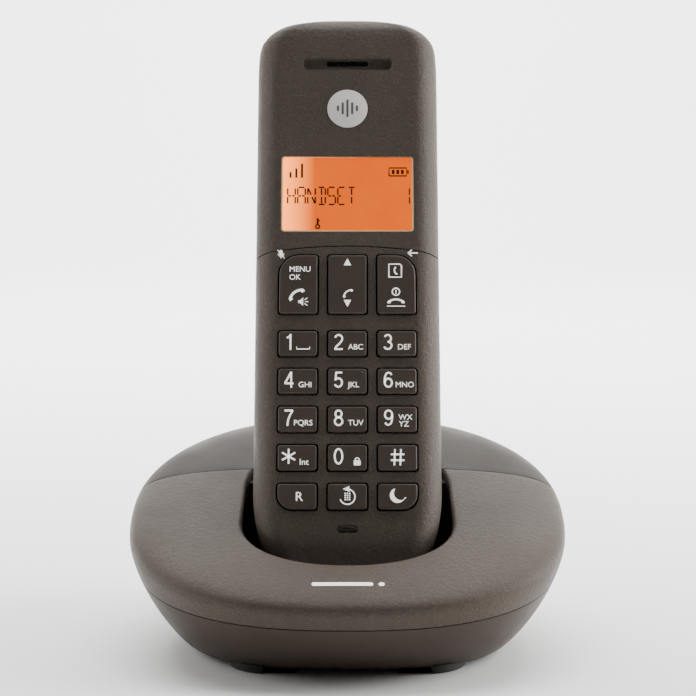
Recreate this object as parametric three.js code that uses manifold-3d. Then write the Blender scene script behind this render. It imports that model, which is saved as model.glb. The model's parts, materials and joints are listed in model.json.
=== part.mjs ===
// Cordless phone standing in its charging base.
//
// Millimetres, +Z up, +X to the viewer's right, +Y away from the viewer.  The handset leans back in
// the base.  Its own pieces are drawn in a frame that lies in the handset: x across, y along its
// length from the lower end, z out of its face.  The finished group stands on Z = 0, centred in X and Y.

import * as THREE from 'three';
import { mergeVertices } from 'three/addons/utils/BufferGeometryUtils.js';
import Module from 'manifold-3d';

const wasm = await Module();
wasm.setup();

// ---------------------------------------------------------------------------------------------
// Driving dimensions
// ---------------------------------------------------------------------------------------------

const GAP = 0.3; // running and seating gap between neighbouring pieces
const THROUGH = 60; // how far a cutter reaches past what it cuts

// Base: a pebble whose widest line slopes up towards the back.
const base = {
  halfWidth: 56.4,
  halfDepth: 49.6,
  centreY: 6,
  frontRoundness: 2.45, // exponent of the plan outline, front half
  backRoundness: 2.25, // and back half
  bottomRoundness: 2.7, // front half, at the foot of the bowl
  rimHeight: 28.9, // height of the widest line at Y = 0
  rimSlope: 0.235, // its rise per millimetre of Y
  crown: 8.9, // dome height above the widest line at Y = 0
  crownSlope: 0.09,
  crownRoundness: 3.3,
  footScale: 0.72, // size of the bowl's flat bottom against the widest outline
  bowlRoundness: 1.36,
  wall: 2.0,
  splitY: 14.6, // line between the front and rear covers
  partingHeight: 21.3, // line between covers and lower shell, at Y = 0
  partingSlope: 0.16,
};

const foot = { height: 1.2, radius: 10, centreX: 19.5, frontY: -19.5, rearY: 22, innerX: 20.7, sink: 0.8 };

const well = {
  halfWidth: 26.6, // mouth of the cradle opening
  narrowing: 2.0, // how far each side draws in towards the handset at the back
  narrowFrom: 5,
  frontReach: 18.9, // from where its front curve begins
  frontStart: -10,
  roundness: 2.2,
  wall: 1.5,
  floorHeight: 7.6,
  backClearance: 0.6, // behind the handset's lower back
};

// Handset
const handset = {
  width: 48,
  length: 160.9,
  lean: THREE.MathUtils.degToRad(21.5),
  footY: -25.3, // where the plane of its face starts, in the base's frame
  footZ: 12.4,
  wall: 2.0,
  frontRounding: 6.3, // how far in from the side the face starts to round over
  frontRoundDepth: 7,
  backRounding: 9,
  gripDepth: 24, // thickness just below the battery door
  taper: 3, // how much thinner the lower end is
  endCurve: 33, // length of the half-ellipse that closes the lower end
  toe: 5, // length over which the face falls away at the lower end
  toeFall: 3.6,
  heelRadius: 12, // lower back edge
  partingDepth: 11, // joint between the faceplates and the back shell
  seamY: 96.3, // joint between the two faceplates, on the centre line
  seamRadius: 130,
};

const door = { lowY: 49, margin: 4.4, thickness: 1.6, overTray: 7.4, corner: 1.5, groove: 0.4 };
const doorGrip = { ribs: 4, pitch: 2.2, halfWidth: 7, halfHeight: 0.4, fromTop: 6 };
handset.doorDepth = handset.gripDepth + door.thickness + GAP + 0.1; // thickness over the door
handset.lowerDepth = handset.gripDepth - handset.taper;

// Two cells side by side in the tray behind the door, with a contact plate at each end.
const cell = { radius: 5.25, length: 43.5, nubRadius: 1.9, nubLength: 1.0, chamfer: 0.4 };
const spring = { plate: 0.6, halfHeight: 4, bumpRadius: 2.4 };
cell.depth = handset.doorDepth - door.thickness - 2 * GAP - cell.radius;
const tray = { wall: 1.4, lowY: 52.6, endRoom: 3.8 };
tray.halfWidth = 2 * cell.radius + 3.5 * GAP;
tray.highY = tray.lowY + cell.length + cell.nubLength + 2 * tray.endRoom;
tray.floorDepth = cell.depth - cell.radius - GAP;
cell.lowY = tray.lowY + tray.endRoom;
door.highY = tray.highY + door.margin;
door.halfWidth = tray.halfWidth + door.overTray;

const board = { depth: 4.8, thickness: 1.2, halfWidth: 19, lowY: 25.5, highY: 138 };
const mat = { depth: 3.7, thickness: 0.8, halfWidth: 19, lowY: 25.5, highY: 93.6 };

const key = {
  proud: 0.7, // height of a cap above the face
  foot: 2.8, // depth of its underside
  flange: 0.5, // thickness and overhang of the rim that keeps it in
  clearance: 0.25, // between a cap and its opening
  pitchX: 12.63,
};
const digitKey = { width: 10.45, height: 7.1, corner: 0.8, pitchY: 9.88, firstRowY: 30.65 };
const tallKey = { width: 10.45, height: 16.2, centreY: 85.9, corner: 0.8, outerCorner: 5.5 };
const lowKeyCorner = 4;

const display = { width: 34.8, height: 20.9, centreY: 110.6, corner: 1.0, thickness: 1.4, recess: 0.2 };
const lcd = { width: 34.6, height: 24, corner: 0.6, depth: 2.4, thickness: 2.1 };
const badge = { radius: 5.3, centreY: 134.3, thickness: 0.8, proud: 0.1 };
const ear = {
  halfWidth: 11.85, height: 3.9, centreY: 147.15, recess: 0.9,
  slotHalfWidth: 6, slotHeight: 1.5, slotCorner: 0.6,
};
const mic = {
  halfWidth: 2.65, height: 2, corner: 0.9, centreY: 22.6, recess: 0.8,
  slotHalfWidth: 1.3, slotHeight: 0.9, slotCorner: 0.3, radius: 2,
};
const receiver = { radius: 6.5, thickness: 3 };
const speaker = { radius: 9, thickness: 4.5, centreY: 126, slots: 5, slotPitch: 2.6, slotHalf: 6.5, slotHeight: 1.1 };

const pad = { width: 4, height: 5, centreX: 5, centreY: 16, proud: 0.2, thickness: 2.4 };
const contact = { width: 2.8, height: 3, tailWidth: 5.4, tailHeight: 7.4, tailThickness: 0.8 };

const caseScrew = { centreX: 13, centreY: 15, headRadius: 2.5, headHeight: 1.8, shankRadius: 1.2, bossWall: 1.5 };
caseScrew.headDepth = handset.lowerDepth - 5.6;
caseScrew.length = caseScrew.headDepth - 5;
const baseScrew = { headRadius: 2.8, headHeight: 1.8, shankRadius: 1.4, length: 13.2 };
const screwPost = { radius: 4.2, height: 7.4, seat: 5.2, bossRadius: 3.1, ribHalf: 0.8, ribLift: 6 };
const frontScrew = { x: 33.4, y: -8 };
const rearScrew = { x: 33.4, y: 20 };

const baseBoard = { halfWidth: 32, lowY: 9, highY: 42, height: 8.0, thickness: 1.6 };
const lineSocket = { centreX: -12.5, width: 12.6, height: 11.5, depth: 12.6, mouthWidth: 9.7, mouthHeight: 6.7 };
const powerSocket = { centreX: 12.5, width: 9, height: 11, depth: 13, boreRadius: 3.1, boreDepth: 9.5, pinRadius: 0.8 };
const socketFaceY = 41.8;
const plugRoom = { line: 0.6, power: 1.2 }; // how much wider the shell's openings are than the sockets'

const page = {
  radius: 5.6, centreY: 32, proud: 0.9, crown: 0.3, edge: 0.7, tilt: 0.19, travel: 1,
  flange: 1.2, flangeThickness: 1.6, slack: 0.1, stemRadius: 1.9, stemRoom: 1.2,
};
const pageSwitch = { size: 6, height: 3.6, tipRadius: 1.6, tipHeight: 0.8 };

// ---------------------------------------------------------------------------------------------
// Solids
// ---------------------------------------------------------------------------------------------

function toSolid(geometry, matrix = new THREE.Matrix4()) {
  const bare = geometry.clone().applyMatrix4(matrix);
  bare.deleteAttribute('normal');
  bare.deleteAttribute('uv');
  const merged = mergeVertices(bare, 1e-4);
  return new wasm.Manifold(new wasm.Mesh({
    numProp: 3,
    vertProperties: new Float32Array(merged.attributes.position.array),
    triVerts: new Uint32Array(merged.index.array),
  }));
}

function toGeometry(solid) {
  const { vertProperties, triVerts } = solid.getMesh();
  const geometry = new THREE.BufferGeometry();
  geometry.setAttribute('position', new THREE.BufferAttribute(new Float32Array(vertProperties), 3));
  geometry.setIndex(new THREE.BufferAttribute(new Uint32Array(triVerts), 1));
  geometry.computeVertexNormals();
  return geometry;
}

const joined = (first, ...rest) => rest.reduce((sum, solid) => sum.add(solid), first);
const cut = (first, ...rest) => rest.reduce((left, solid) => left.subtract(solid), first);

function box(x0, x1, y0, y1, z0, z1) {
  const geometry = new THREE.BoxGeometry(x1 - x0, y1 - y0, z1 - z0);
  const centre = new THREE.Matrix4().makeTranslation((x0 + x1) / 2, (y0 + y1) / 2, (z0 + z1) / 2);
  return toSolid(geometry, centre);
}

// A cylinder whose axis is parallel to Z.
function rod(radius, x, y, z0, z1, sides = 16) {
  const geometry = new THREE.CylinderGeometry(radius, radius, z1 - z0, sides);
  const upright = new THREE.Matrix4().makeRotationX(Math.PI / 2);
  return toSolid(geometry, upright.premultiply(new THREE.Matrix4().makeTranslation(x, y, (z0 + z1) / 2)));
}

// A plan outline pushed along Z, or, with axis 'x', a (y, z) outline pushed along X.
function prism(shape, from, to, axis = 'z') {
  const geometry = new THREE.ExtrudeGeometry(shape, { depth: to - from, bevelEnabled: false });
  geometry.translate(0, 0, from);
  const turn = new THREE.Matrix4();
  if (axis === 'x') turn.makeBasis(vec(0, 1, 0), vec(0, 0, 1), vec(1, 0, 0));
  return toSolid(geometry, turn);
}

function vec(x, y, z) {
  return new THREE.Vector3(x, y, z);
}

// A rectangle with its own radius at each corner, counter-clockwise from the lower left.
// A small corner is a single chamfer, a larger one an arc.
function roundedRectangle(width, height, radii, x = 0, y = 0) {
  const [r0, r1, r2, r3] = Array.isArray(radii) ? radii : [radii, radii, radii, radii];
  const [halfX, halfY] = [width / 2, height / 2];
  const points = [];
  const corner = (cx, cy, radius, start) => {
    const steps = radius < 1.2 ? 1 : 4;
    for (let i = 0; i <= steps; i += 1) {
      const angle = start + (i / steps) * (Math.PI / 2);
      points.push([x + cx + radius * Math.cos(angle), y + cy + radius * Math.sin(angle)]);
    }
  };
  corner(-halfX + r0, -halfY + r0, r0, Math.PI);
  corner(halfX - r1, -halfY + r1, r1, 1.5 * Math.PI);
  corner(halfX - r2, halfY - r2, r2, 0);
  corner(-halfX + r3, halfY - r3, r3, 0.5 * Math.PI);
  return polygon(points);
}

function polygon(points) {
  return new THREE.Shape(points.map(([a, b]) => new THREE.Vector2(a, b)));
}

// A closed skin through rings of points, with a flat fan over the first and the last ring.
function ringSolid(rings) {
  const count = rings[0].length;
  const points = rings.flat();
  const index = [];
  for (let ring = 0; ring + 1 < rings.length; ring += 1) {
    for (let i = 0; i < count; i += 1) {
      const a = ring * count + i;
      const b = ring * count + ((i + 1) % count);
      index.push(a, b, b + count, a, b + count, a + count);
    }
  }
  for (const [ring, flip] of [[0, true], [rings.length - 1, false]]) {
    const middle = rings[ring].reduce((sum, p) => sum.add(p), vec(0, 0, 0)).divideScalar(count);
    const hub = points.push(middle) - 1;
    for (let i = 0; i < count; i += 1) {
      const a = ring * count + i;
      const b = ring * count + ((i + 1) % count);
      index.push(...(flip ? [hub, b, a] : [hub, a, b]));
    }
  }
  const geometry = new THREE.BufferGeometry().setFromPoints(points);
  geometry.setIndex(index);
  return toSolid(geometry);
}

// ---------------------------------------------------------------------------------------------
// Base body
// ---------------------------------------------------------------------------------------------

const power = (value, exponent) => Math.sign(value) * Math.abs(value) ** exponent;
const mix = (from, to, share) => from + (to - from) * share;

// One ring of the pebble's plan, at the given scale of its widest outline.
function pebbleRing(inset, scale, frontRoundness, height, segments) {
  const ring = [];
  for (let i = 0; i < segments; i += 1) {
    const angle = (i / segments) * 2 * Math.PI;
    const roundness = Math.sin(angle) < 0 ? frontRoundness : base.backRoundness;
    const x = (base.halfWidth - inset) * power(Math.cos(angle), 2 / roundness);
    const y = (base.halfDepth - inset) * power(Math.sin(angle), 2 / roundness);
    const rimY = base.centreY + y;
    const ringY = base.centreY + y * scale;
    ring.push(vec(x * scale, ringY, height(rimY, ringY)));
  }
  return ring;
}

const outerDetail = { segments: 40, domeSteps: 7, bowlSteps: 5 };
const innerDetail = { segments: 24, domeSteps: 5, bowlSteps: 3 };

// The whole base body as one solid, drawn in by `inset` all round.
function pebble(inset) {
  const { segments, domeSteps, bowlSteps } = inset > 0 ? innerDetail : outerDetail;
  const bottom = foot.height + inset;
  const rings = [];
  for (let i = 0; i < bowlSteps; i += 1) {
    const turn = (1 - i / bowlSteps) * (Math.PI / 2);
    const scale = mix(base.footScale, 1, Math.cos(turn) ** (2 / base.bowlRoundness));
    const drop = Math.sin(turn) ** (2 / base.bowlRoundness);
    const roundness = mix(base.frontRoundness, base.bottomRoundness, drop ** 8);
    const height = (rimY) => mix(base.rimHeight + base.rimSlope * rimY, bottom, drop);
    rings.push(pebbleRing(inset, scale, roundness, height, segments));
  }
  for (let i = 0; i < domeSteps; i += 1) {
    const turn = (i / domeSteps) * (Math.PI / 2);
    const scale = Math.cos(turn) ** (2 / base.crownRoundness);
    const rise = Math.sin(turn) ** (2 / base.crownRoundness);
    const height = (rimY, y) => base.rimHeight + base.rimSlope * y
      + (base.crown - inset + base.crownSlope * y) * rise;
    rings.push(pebbleRing(inset, scale, base.frontRoundness, height, segments));
  }
  return ringSolid(rings);
}

// Height of the dome over a point on the centre line.
function domeHeight(y, inset = 0) {
  const reach = Math.min(Math.abs(y - base.centreY) / (base.halfDepth - inset), 1);
  const rise = (1 - reach ** base.crownRoundness) ** (1 / base.crownRoundness);
  return base.rimHeight + base.rimSlope * y + (base.crown - inset + base.crownSlope * y) * rise;
}

// All that lies below the sloping joint between the covers and the lower shell.
function belowParting(offset) {
  const reach = 2 * THROUGH;
  const heightAt = (y) => base.partingHeight + base.partingSlope * y + offset;
  return prism(polygon([
    [-reach, -reach], [reach, -reach], [reach, heightAt(reach)], [-reach, heightAt(-reach)],
  ]), -reach, reach, 'x');
}

// ---------------------------------------------------------------------------------------------
// Handset frame and body
// ---------------------------------------------------------------------------------------------

const handsetMatrix = new THREE.Matrix4()
  .makeRotationX(Math.PI / 2 - handset.lean)
  .setPosition(0, handset.footY, handset.footZ);

// A solid drawn in the handset's frame, in the base's frame.
const inBaseFrame = (solid) => toSolid(toGeometry(solid), handsetMatrix);

// Linear interpolation through [position, value] stations.
function along(stations, position) {
  const last = stations.length - 1;
  if (position <= stations[0][0]) return stations[0][1];
  if (position >= stations[last][0]) return stations[last][1];
  const next = stations.findIndex(([at]) => at >= position);
  const [[at0, value0], [at1, value1]] = [stations[next - 1], stations[next]];
  return mix(value0, value1, (position - at0) / (at1 - at0));
}

// Half-width of the handset at distances back from its crowned upper end.
const crownOutline = [
  [0, 3], [0.3, 8.5], [0.9, 13], [2, 18], [3.7, 20.9], [5.4, 22.5], [7, 23.3], [10, 23.8], [17, 24],
];
// How far the face falls back, and how deep the back lies, at those distances.
const crownFace = [[0, 4.5], [0.3, 3], [0.9, 1.9], [2, 1.0], [3.7, 0.3], [5.4, 0]];
// The back's depth there, as a share of the depth over the battery door.
const crownBack = [
  [0, 0.38], [0.3, 0.46], [0.9, 0.515], [2, 0.577], [3.7, 0.63], [5.4, 0.67], [7, 0.69], [10, 0.722],
  [17, 0.777], [30, 0.869], [46, 0.969],
];

function halfWidthAt(y) {
  const back = handset.length - y;
  const fullWidth = 2 * crownOutline.at(-1)[1];
  if (back < crownOutline.at(-1)[0]) return along(crownOutline, back) * (handset.width / fullWidth);
  const short = Math.max(0, 1 - y / handset.endCurve);
  return (handset.width / 2) * Math.sqrt(Math.max(0, 1 - short ** 2));
}

function faceDepthAt(y) {
  const fromToe = Math.max(0, 1 - y / handset.toe);
  return along(crownFace, handset.length - y) + handset.toeFall * (1 - Math.sqrt(1 - fromToe ** 2));
}

// Depth of the back at y; the step at the battery door's lower edge is left out with plain = true.
function backDepthAt(y, plain = false) {
  const back = handset.length - y;
  if (back < crownBack.at(-1)[0]) return along(crownBack, back) * handset.doorDepth;
  const behindStep = y > door.lowY - GAP / 2;
  if (behindStep) return plain ? handset.gripDepth : handset.doorDepth;
  if (y > handset.heelRadius) {
    return along([[handset.heelRadius, handset.lowerDepth], [door.lowY, handset.gripDepth]], y);
  }
  const heel = handset.heelRadius - y;
  return handset.lowerDepth - handset.heelRadius + Math.sqrt(Math.max(0, handset.heelRadius ** 2 - heel ** 2));
}

// One cross-section: a flat face rounded over at the sides, and a rounder back.
function handsetSection(y, halfWidth, face, back, inset) {
  const half = Math.max(halfWidth - inset, 0.5);
  const front = face + inset;
  const rear = Math.max(back - inset, front + 1);
  const depth = rear - front;
  const frontRound = Math.min(handset.frontRounding - inset, half * 0.8);
  const frontDepth = Math.min(handset.frontRoundDepth - inset, depth * 0.4);
  const backRound = Math.min(handset.backRounding - inset, half * 0.8);
  const backDepth = Math.min(handset.backRounding - inset, depth * 0.5);
  const ring = [];
  const steps = 4;
  const corner = (cx, cz, rx, rz, start) => {
    for (let i = 0; i <= steps; i += 1) {
      const angle = start + (i / steps) * (Math.PI / 2);
      ring.push(vec(cx + rx * Math.cos(angle), y, cz + rz * Math.sin(angle)));
    }
  };
  corner(half - frontRound, -front - frontDepth, frontRound, frontDepth, 0);
  corner(-half + frontRound, -front - frontDepth, frontRound, frontDepth, Math.PI / 2);
  corner(-half + backRound, -rear + backDepth, backRound, backDepth, Math.PI);
  corner(half - backRound, -rear + backDepth, backRound, backDepth, 1.5 * Math.PI);
  return ring.reverse();
}

// The handset's body, drawn in by `inset`; plain = true leaves out the battery door's thickness.
function handsetBody(inset, plain = false) {
  const toe = 5; // degrees round the lower end where the first section lies
  const sections = [];
  for (const angle of [toe, 12, 24, 36, 48, 60, 75, 90]) {
    sections.push(handset.endCurve * (1 - Math.cos(THREE.MathUtils.degToRad(angle))));
  }
  sections.push(door.lowY - GAP, door.lowY - GAP / 6, handset.length - crownBack.at(-1)[0]);
  for (const [back] of [...crownOutline].reverse()) sections.push(handset.length - back);
  const shrink = (y) => Math.min(Math.max(y, inset + 0.1), handset.length - inset - 0.1);
  const rings = sections
    .filter((y) => y > inset + 0.1 || y < toe)
    .map((y) => handsetSection(shrink(y), halfWidthAt(y), faceDepthAt(y), backDepthAt(y, plain), inset));
  return ringSolid(rings);
}

// ---------------------------------------------------------------------------------------------
// Finishes
// ---------------------------------------------------------------------------------------------

const finish = (color, roughness, metalness = 0) => ({ color, roughness, metalness });
const finishes = {
  cover: finish(0x6f665d, 0.55),
  rearCover: finish(0x5d554c, 0.5),
  shell: finish(0x453e38, 0.5),
  well: finish(0x2a2924, 0.6),
  face: finish(0x48413c, 0.55),
  keyCap: finish(0x3a3632, 0.4),
  display: finish(0xf58a2e, 0.2),
  white: finish(0xe8e6e0, 0.4),
  rubber: finish(0x1d1c1a, 0.8),
  board: finish(0x1f5a34, 0.6),
  metal: finish(0xb8b6b0, 0.3, 1),
  cell: finish(0x3f7d4b, 0.35),
  socket: finish(0x24221f, 0.5),
};

const phone = new THREE.Group();
const baseGroup = new THREE.Group();
const handsetGroup = new THREE.Group();
handsetGroup.applyMatrix4(handsetMatrix);
phone.add(baseGroup, handsetGroup);

function addPiece(group, name, solid, finishName) {
  const mesh = new THREE.Mesh(toGeometry(solid), new THREE.MeshStandardMaterial(finishes[finishName]));
  mesh.name = name;
  group.add(mesh);
}

// ---------------------------------------------------------------------------------------------
// Base pieces
// ---------------------------------------------------------------------------------------------

// The cradle opening in plan, grown by `grow`: sides drawn in at the back and a superellipse front.
function wellOutline(grow, backY = THROUGH) {
  const half = well.halfWidth + grow;
  const reach = well.frontReach + grow;
  const steps = 16;
  const cornerSteps = 4;
  const corner = [];
  for (let i = 0; i <= cornerSteps; i += 1) {
    const angle = (i / cornerSteps) * (Math.PI / 2);
    corner.push([
      half - well.narrowing * (1 - Math.cos(angle)),
      mix(well.narrowFrom, base.splitY, Math.sin(angle)),
    ]);
  }
  const points = [[well.narrowing - half, backY]];
  for (const [x, y] of [...corner].reverse()) points.push([-x, y]);
  for (let i = 0; i <= steps; i += 1) {
    const angle = Math.PI + (i / steps) * Math.PI;
    points.push([
      half * power(Math.cos(angle), 2 / well.roundness),
      well.frontStart + reach * power(Math.sin(angle), 2 / well.roundness),
    ]);
  }
  points.push(...corner, [half - well.narrowing, backY]);
  return polygon(points);
}

// All that lies in front of a plane parallel to the handset's face, `depth` below that face.
function aheadOfDepth(depth) {
  return inBaseFrame(box(-THROUGH, THROUGH, -THROUGH, handset.length + THROUGH, -depth, THROUGH));
}

const wellBackDepth = handset.gripDepth + well.backClearance;

const screwHeadLow = foot.height + screwPost.seat - GAP - baseScrew.headHeight;

function buildCovers() {
  const hollow = cut(pebble(0), pebble(base.wall));
  const above = cut(hollow, belowParting(GAP / 2));
  const reach = 2 * THROUGH;
  const ahead = box(-reach, reach, -reach, base.splitY - GAP / 2, -reach, reach);
  const behind = box(-reach, reach, base.splitY + GAP / 2, reach, -reach, reach);
  const mouth = prism(wellOutline(0, base.splitY + THROUGH), -THROUGH, 2 * THROUGH);
  const boss = ({ x, y }) => {
    const side = Math.sign(x);
    const foot0 = foot.height + screwPost.height + GAP;
    const post = rod(screwPost.bossRadius, x, y, foot0, THROUGH).intersect(pebble(base.wall / 2));
    // A rib ties the boss to the cover's side wall.
    const rib = box(Math.min(x, side * reach), Math.max(x, side * reach), y - screwPost.ribHalf, y + screwPost.ribHalf,
      base.partingHeight + screwPost.ribLift, THROUGH).intersect(pebble(base.wall / 2));
    return joined(post, rib);
  };
  const boreTop = screwHeadLow + baseScrew.headHeight + baseScrew.length + GAP;
  const bore = ({ x, y }) => rod(baseScrew.shankRadius + GAP, x, y, -THROUGH, boreTop, 12);
  const mirrored = ({ x, y }) => [{ x, y }, { x: -x, y }];

  const frontBosses = mirrored(frontScrew).map(boss);
  const front = cut(joined(above.intersect(ahead), ...frontBosses), mouth, ...mirrored(frontScrew).map(bore));
  addPiece(baseGroup, 'base_front_cover', front, 'cover');

  const rearBosses = mirrored(rearScrew).map(boss);
  const rear = cut(
    joined(above.intersect(behind), ...rearBosses),
    ...mirrored(rearScrew).map(bore),
    onPageAxis(rod(page.radius + GAP, 0, 0, -6, 12, 28)),
  );
  addPiece(baseGroup, 'base_rear_cover', rear, 'rearCover');
}

function socketBox({ centreX, width, height, depth }, grow = 0) {
  const low = baseBoard.height + baseBoard.thickness + GAP;
  return box(centreX - width / 2 - grow, centreX + width / 2 + grow,
    socketFaceY - depth - grow, socketFaceY + grow, low - grow, low + height + grow);
}

const socketMiddleZ = ({ height }) => baseBoard.height + baseBoard.thickness + GAP + height / 2;

function lineMouth(grow, fromY, toY) {
  const { centreX, mouthWidth, mouthHeight } = lineSocket;
  const z = socketMiddleZ(lineSocket);
  return box(centreX - mouthWidth / 2 - grow, centreX + mouthWidth / 2 + grow, fromY, toY,
    z - mouthHeight / 2 - grow, z + mouthHeight / 2 + grow);
}

// A cylinder along Y, for the power socket.
function powerRod(radius, fromY, toY) {
  const geometry = new THREE.CylinderGeometry(radius, radius, toY - fromY, 20);
  const place = new THREE.Matrix4()
    .makeTranslation(powerSocket.centreX, (fromY + toY) / 2, socketMiddleZ(powerSocket));
  return toSolid(geometry, place);
}

function buildLowerShell() {
  const hollow = cut(pebble(0), pebble(base.wall));
  const bowl = hollow.intersect(belowParting(-GAP / 2));
  const floor = foot.height;
  const seats = [];
  const posts = [];
  for (const { x, y } of [frontScrew, rearScrew]) {
    for (const side of [-1, 1]) {
      posts.push(rod(screwPost.radius, side * x, y, floor, floor + screwPost.height));
      seats.push(rod(baseScrew.headRadius + GAP, side * x, y, -THROUGH, floor + screwPost.seat));
      seats.push(rod(baseScrew.shankRadius + GAP, side * x, y, -THROUGH, THROUGH));
    }
  }
  // Stand-offs under the circuit board.
  const standOffs = [];
  for (const x of [-20, 20]) {
    standOffs.push(rod(2, x, baseBoard.highY - 8, floor + base.wall / 2, baseBoard.height - GAP, 12));
  }
  const footPockets = feet.map((item) => footSolid(item, GAP));
  const shell = cut(
    joined(bowl, ...posts, ...standOffs),
    ...seats,
    ...footPockets,
    lineMouth(plugRoom.line, socketFaceY - 1, 2 * THROUGH),
    powerRod(powerSocket.boreRadius + plugRoom.power, socketFaceY - 1, 2 * THROUGH),
  );
  addPiece(baseGroup, 'base_lower_shell', shell, 'shell');
}

const feet = [
  { name: 'foot_front_left', side: -1, y: foot.frontY },
  { name: 'foot_front_right', side: 1, y: foot.frontY },
  { name: 'foot_rear_left', side: -1, y: foot.rearY },
  { name: 'foot_rear_right', side: 1, y: foot.rearY },
];

// A D-shaped pad with its straight side towards the middle, let into the shell's floor.
function footSolid({ side, y }, grow) {
  const disc = rod(foot.radius + grow, side * foot.centreX, y, -grow, foot.height + foot.sink + grow, 32);
  const inner = foot.innerX - grow;
  const [x0, x1] = side > 0 ? [inner, THROUGH] : [-THROUGH, -inner];
  return disc.intersect(box(x0, x1, -THROUGH, THROUGH, -THROUGH, THROUGH));
}

function buildFeet() {
  for (const item of feet) addPiece(baseGroup, item.name, footSolid(item, 0), 'rubber');
}

function buildWell() {
  const inside = pebble(base.wall + GAP);
  const floor = well.floorHeight;
  const outer = prism(wellOutline(well.wall), floor - well.wall, THROUGH)
    .intersect(aheadOfDepth(wellBackDepth + well.wall)).intersect(inside);
  const pocket = prism(wellOutline(0), floor, THROUGH + 1).intersect(aheadOfDepth(wellBackDepth));
  const slots = [-1, 1].map((side) => inBaseFrame(contactSlot(side)));
  const behindSplit = box(-THROUGH, THROUGH, base.splitY - GAP, THROUGH, 0, THROUGH);
  addPiece(baseGroup, 'cradle_well', cut(outer, pocket, behindSplit, ...slots), 'well');
}

// Drawn in the handset's frame: the slot in the well's back that a charge contact runs in.
function contactSlot(side) {
  const x = side * pad.centreX;
  const [halfX, halfY] = [contact.width / 2 + GAP, contact.height / 2 + GAP];
  return box(x - halfX, x + halfX, pad.centreY - halfY, pad.centreY + halfY, -THROUGH, 0);
}

const padFaceDepth = backDepthAt(pad.centreY) + pad.proud;

function buildContacts() {
  for (const [name, side] of [['charge_contact_left', -1], ['charge_contact_right', 1]]) {
    const x = side * pad.centreX;
    const tailDepth = wellBackDepth + well.wall + GAP;
    const nose = box(x - contact.width / 2, x + contact.width / 2, pad.centreY - contact.height / 2,
      pad.centreY + contact.height / 2, -tailDepth - contact.tailThickness, -padFaceDepth - GAP);
    const tail = box(x - contact.tailWidth / 2, x + contact.tailWidth / 2,
      pad.centreY - contact.tailHeight / 2, pad.centreY + contact.tailHeight / 2,
      -tailDepth - contact.tailThickness, -tailDepth);
    addPiece(handsetGroup, name, joined(nose, tail), 'metal');
  }
}

function buildBaseBoard() {
  const { halfWidth, lowY, highY, height, thickness } = baseBoard;
  const slab = prism(roundedRectangle(2 * halfWidth, highY - lowY, 5, 0, (lowY + highY) / 2),
    height, height + thickness).intersect(pebble(base.wall + GAP));
  const holes = [-1, 1].map((side) => rod(screwPost.radius + GAP, side * rearScrew.x, rearScrew.y, 0, THROUGH));
  addPiece(baseGroup, 'base_circuit_board', cut(slab, ...holes), 'board');
}

function buildSockets() {
  const line = cut(socketBox(lineSocket), lineMouth(0, socketFaceY - 10, THROUGH * 2));
  addPiece(baseGroup, 'line_socket', line, 'socket');
  const bore = powerRod(powerSocket.boreRadius, socketFaceY - powerSocket.boreDepth, THROUGH * 2);
  const pin = powerRod(powerSocket.pinRadius, socketFaceY - powerSocket.boreDepth - 1, socketFaceY - 1.5);
  addPiece(baseGroup, 'power_socket', joined(cut(socketBox(powerSocket), bore), pin), 'socket');
}

// The page button's own frame: origin on the dome, Z along the push.
const pageMatrix = new THREE.Matrix4()
  .makeRotationX(page.tilt)
  .setPosition(0, page.centreY, domeHeight(page.centreY));

function onPageAxis(solid) {
  return toSolid(toGeometry(solid), pageMatrix);
}

const switchTop = baseBoard.height + baseBoard.thickness + GAP + pageSwitch.height;
// Length of the stem below the dome so that it stops just short of the switch when pushed home.
const stemLength = (domeHeight(page.centreY) - switchTop) / Math.cos(page.tilt) - page.travel - page.stemRoom;

function buildPageButton() {
  const { radius, proud, crown, edge, flange, flangeThickness, slack, stemRadius, travel } = page;
  const flangeTop = -(base.wall + GAP + travel + slack);
  const flangeLow = flangeTop - flangeThickness;
  const profile = [
    [0, -stemLength], [stemRadius, -stemLength], [stemRadius, flangeLow], [radius + flange, flangeLow],
    [radius + flange, flangeTop], [radius, flangeTop], [radius, proud - edge], [radius - edge, proud],
    [0, proud + crown],
  ];
  const lathe = new THREE.LatheGeometry(profile.map(([r, h]) => new THREE.Vector2(r, h)), 28);
  const upright = new THREE.Matrix4().makeRotationX(Math.PI / 2);
  const button = toSolid(lathe, upright.premultiply(pageMatrix));
  addPiece(baseGroup, 'page_button', button, 'rubber');

  const { size, height, tipRadius, tipHeight } = pageSwitch;
  const low = baseBoard.height + baseBoard.thickness + GAP;
  const y = page.centreY + Math.sin(page.tilt) * stemLength;
  const body = box(-size / 2, size / 2, y - size / 2, y + size / 2, low, low + height - tipHeight);
  addPiece(baseGroup, 'page_switch', joined(body, rod(tipRadius, 0, y, low + tipHeight, low + height, 16)), 'socket');
}

// A pan-head screw pointing up, its head at z0.
function uprightScrew(x, y, z0, { headRadius, headHeight, shankRadius, length }) {
  return joined(
    rod(headRadius, x, y, z0, z0 + headHeight, 16),
    rod(shankRadius, x, y, z0 + headHeight / 2, z0 + headHeight + length, 12),
  );
}

function buildBaseScrews() {
  for (const [where, { x, y }] of [['front', frontScrew], ['rear', rearScrew]]) {
    for (const [hand, side] of [['left', -1], ['right', 1]]) {
      const screw = uprightScrew(side * x, y, screwHeadLow, baseScrew);
      addPiece(baseGroup, `base_screw_${where}_${hand}`, screw, 'metal');
    }
  }
}

// ---------------------------------------------------------------------------------------------
// Handset pieces
// ---------------------------------------------------------------------------------------------

const columns = [['left', -1], ['middle', 0], ['right', 1]];
const digitNames = [['1', '2', '3'], ['4', '5', '6'], ['7', '8', '9'], ['star', '0', 'hash']];

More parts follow.
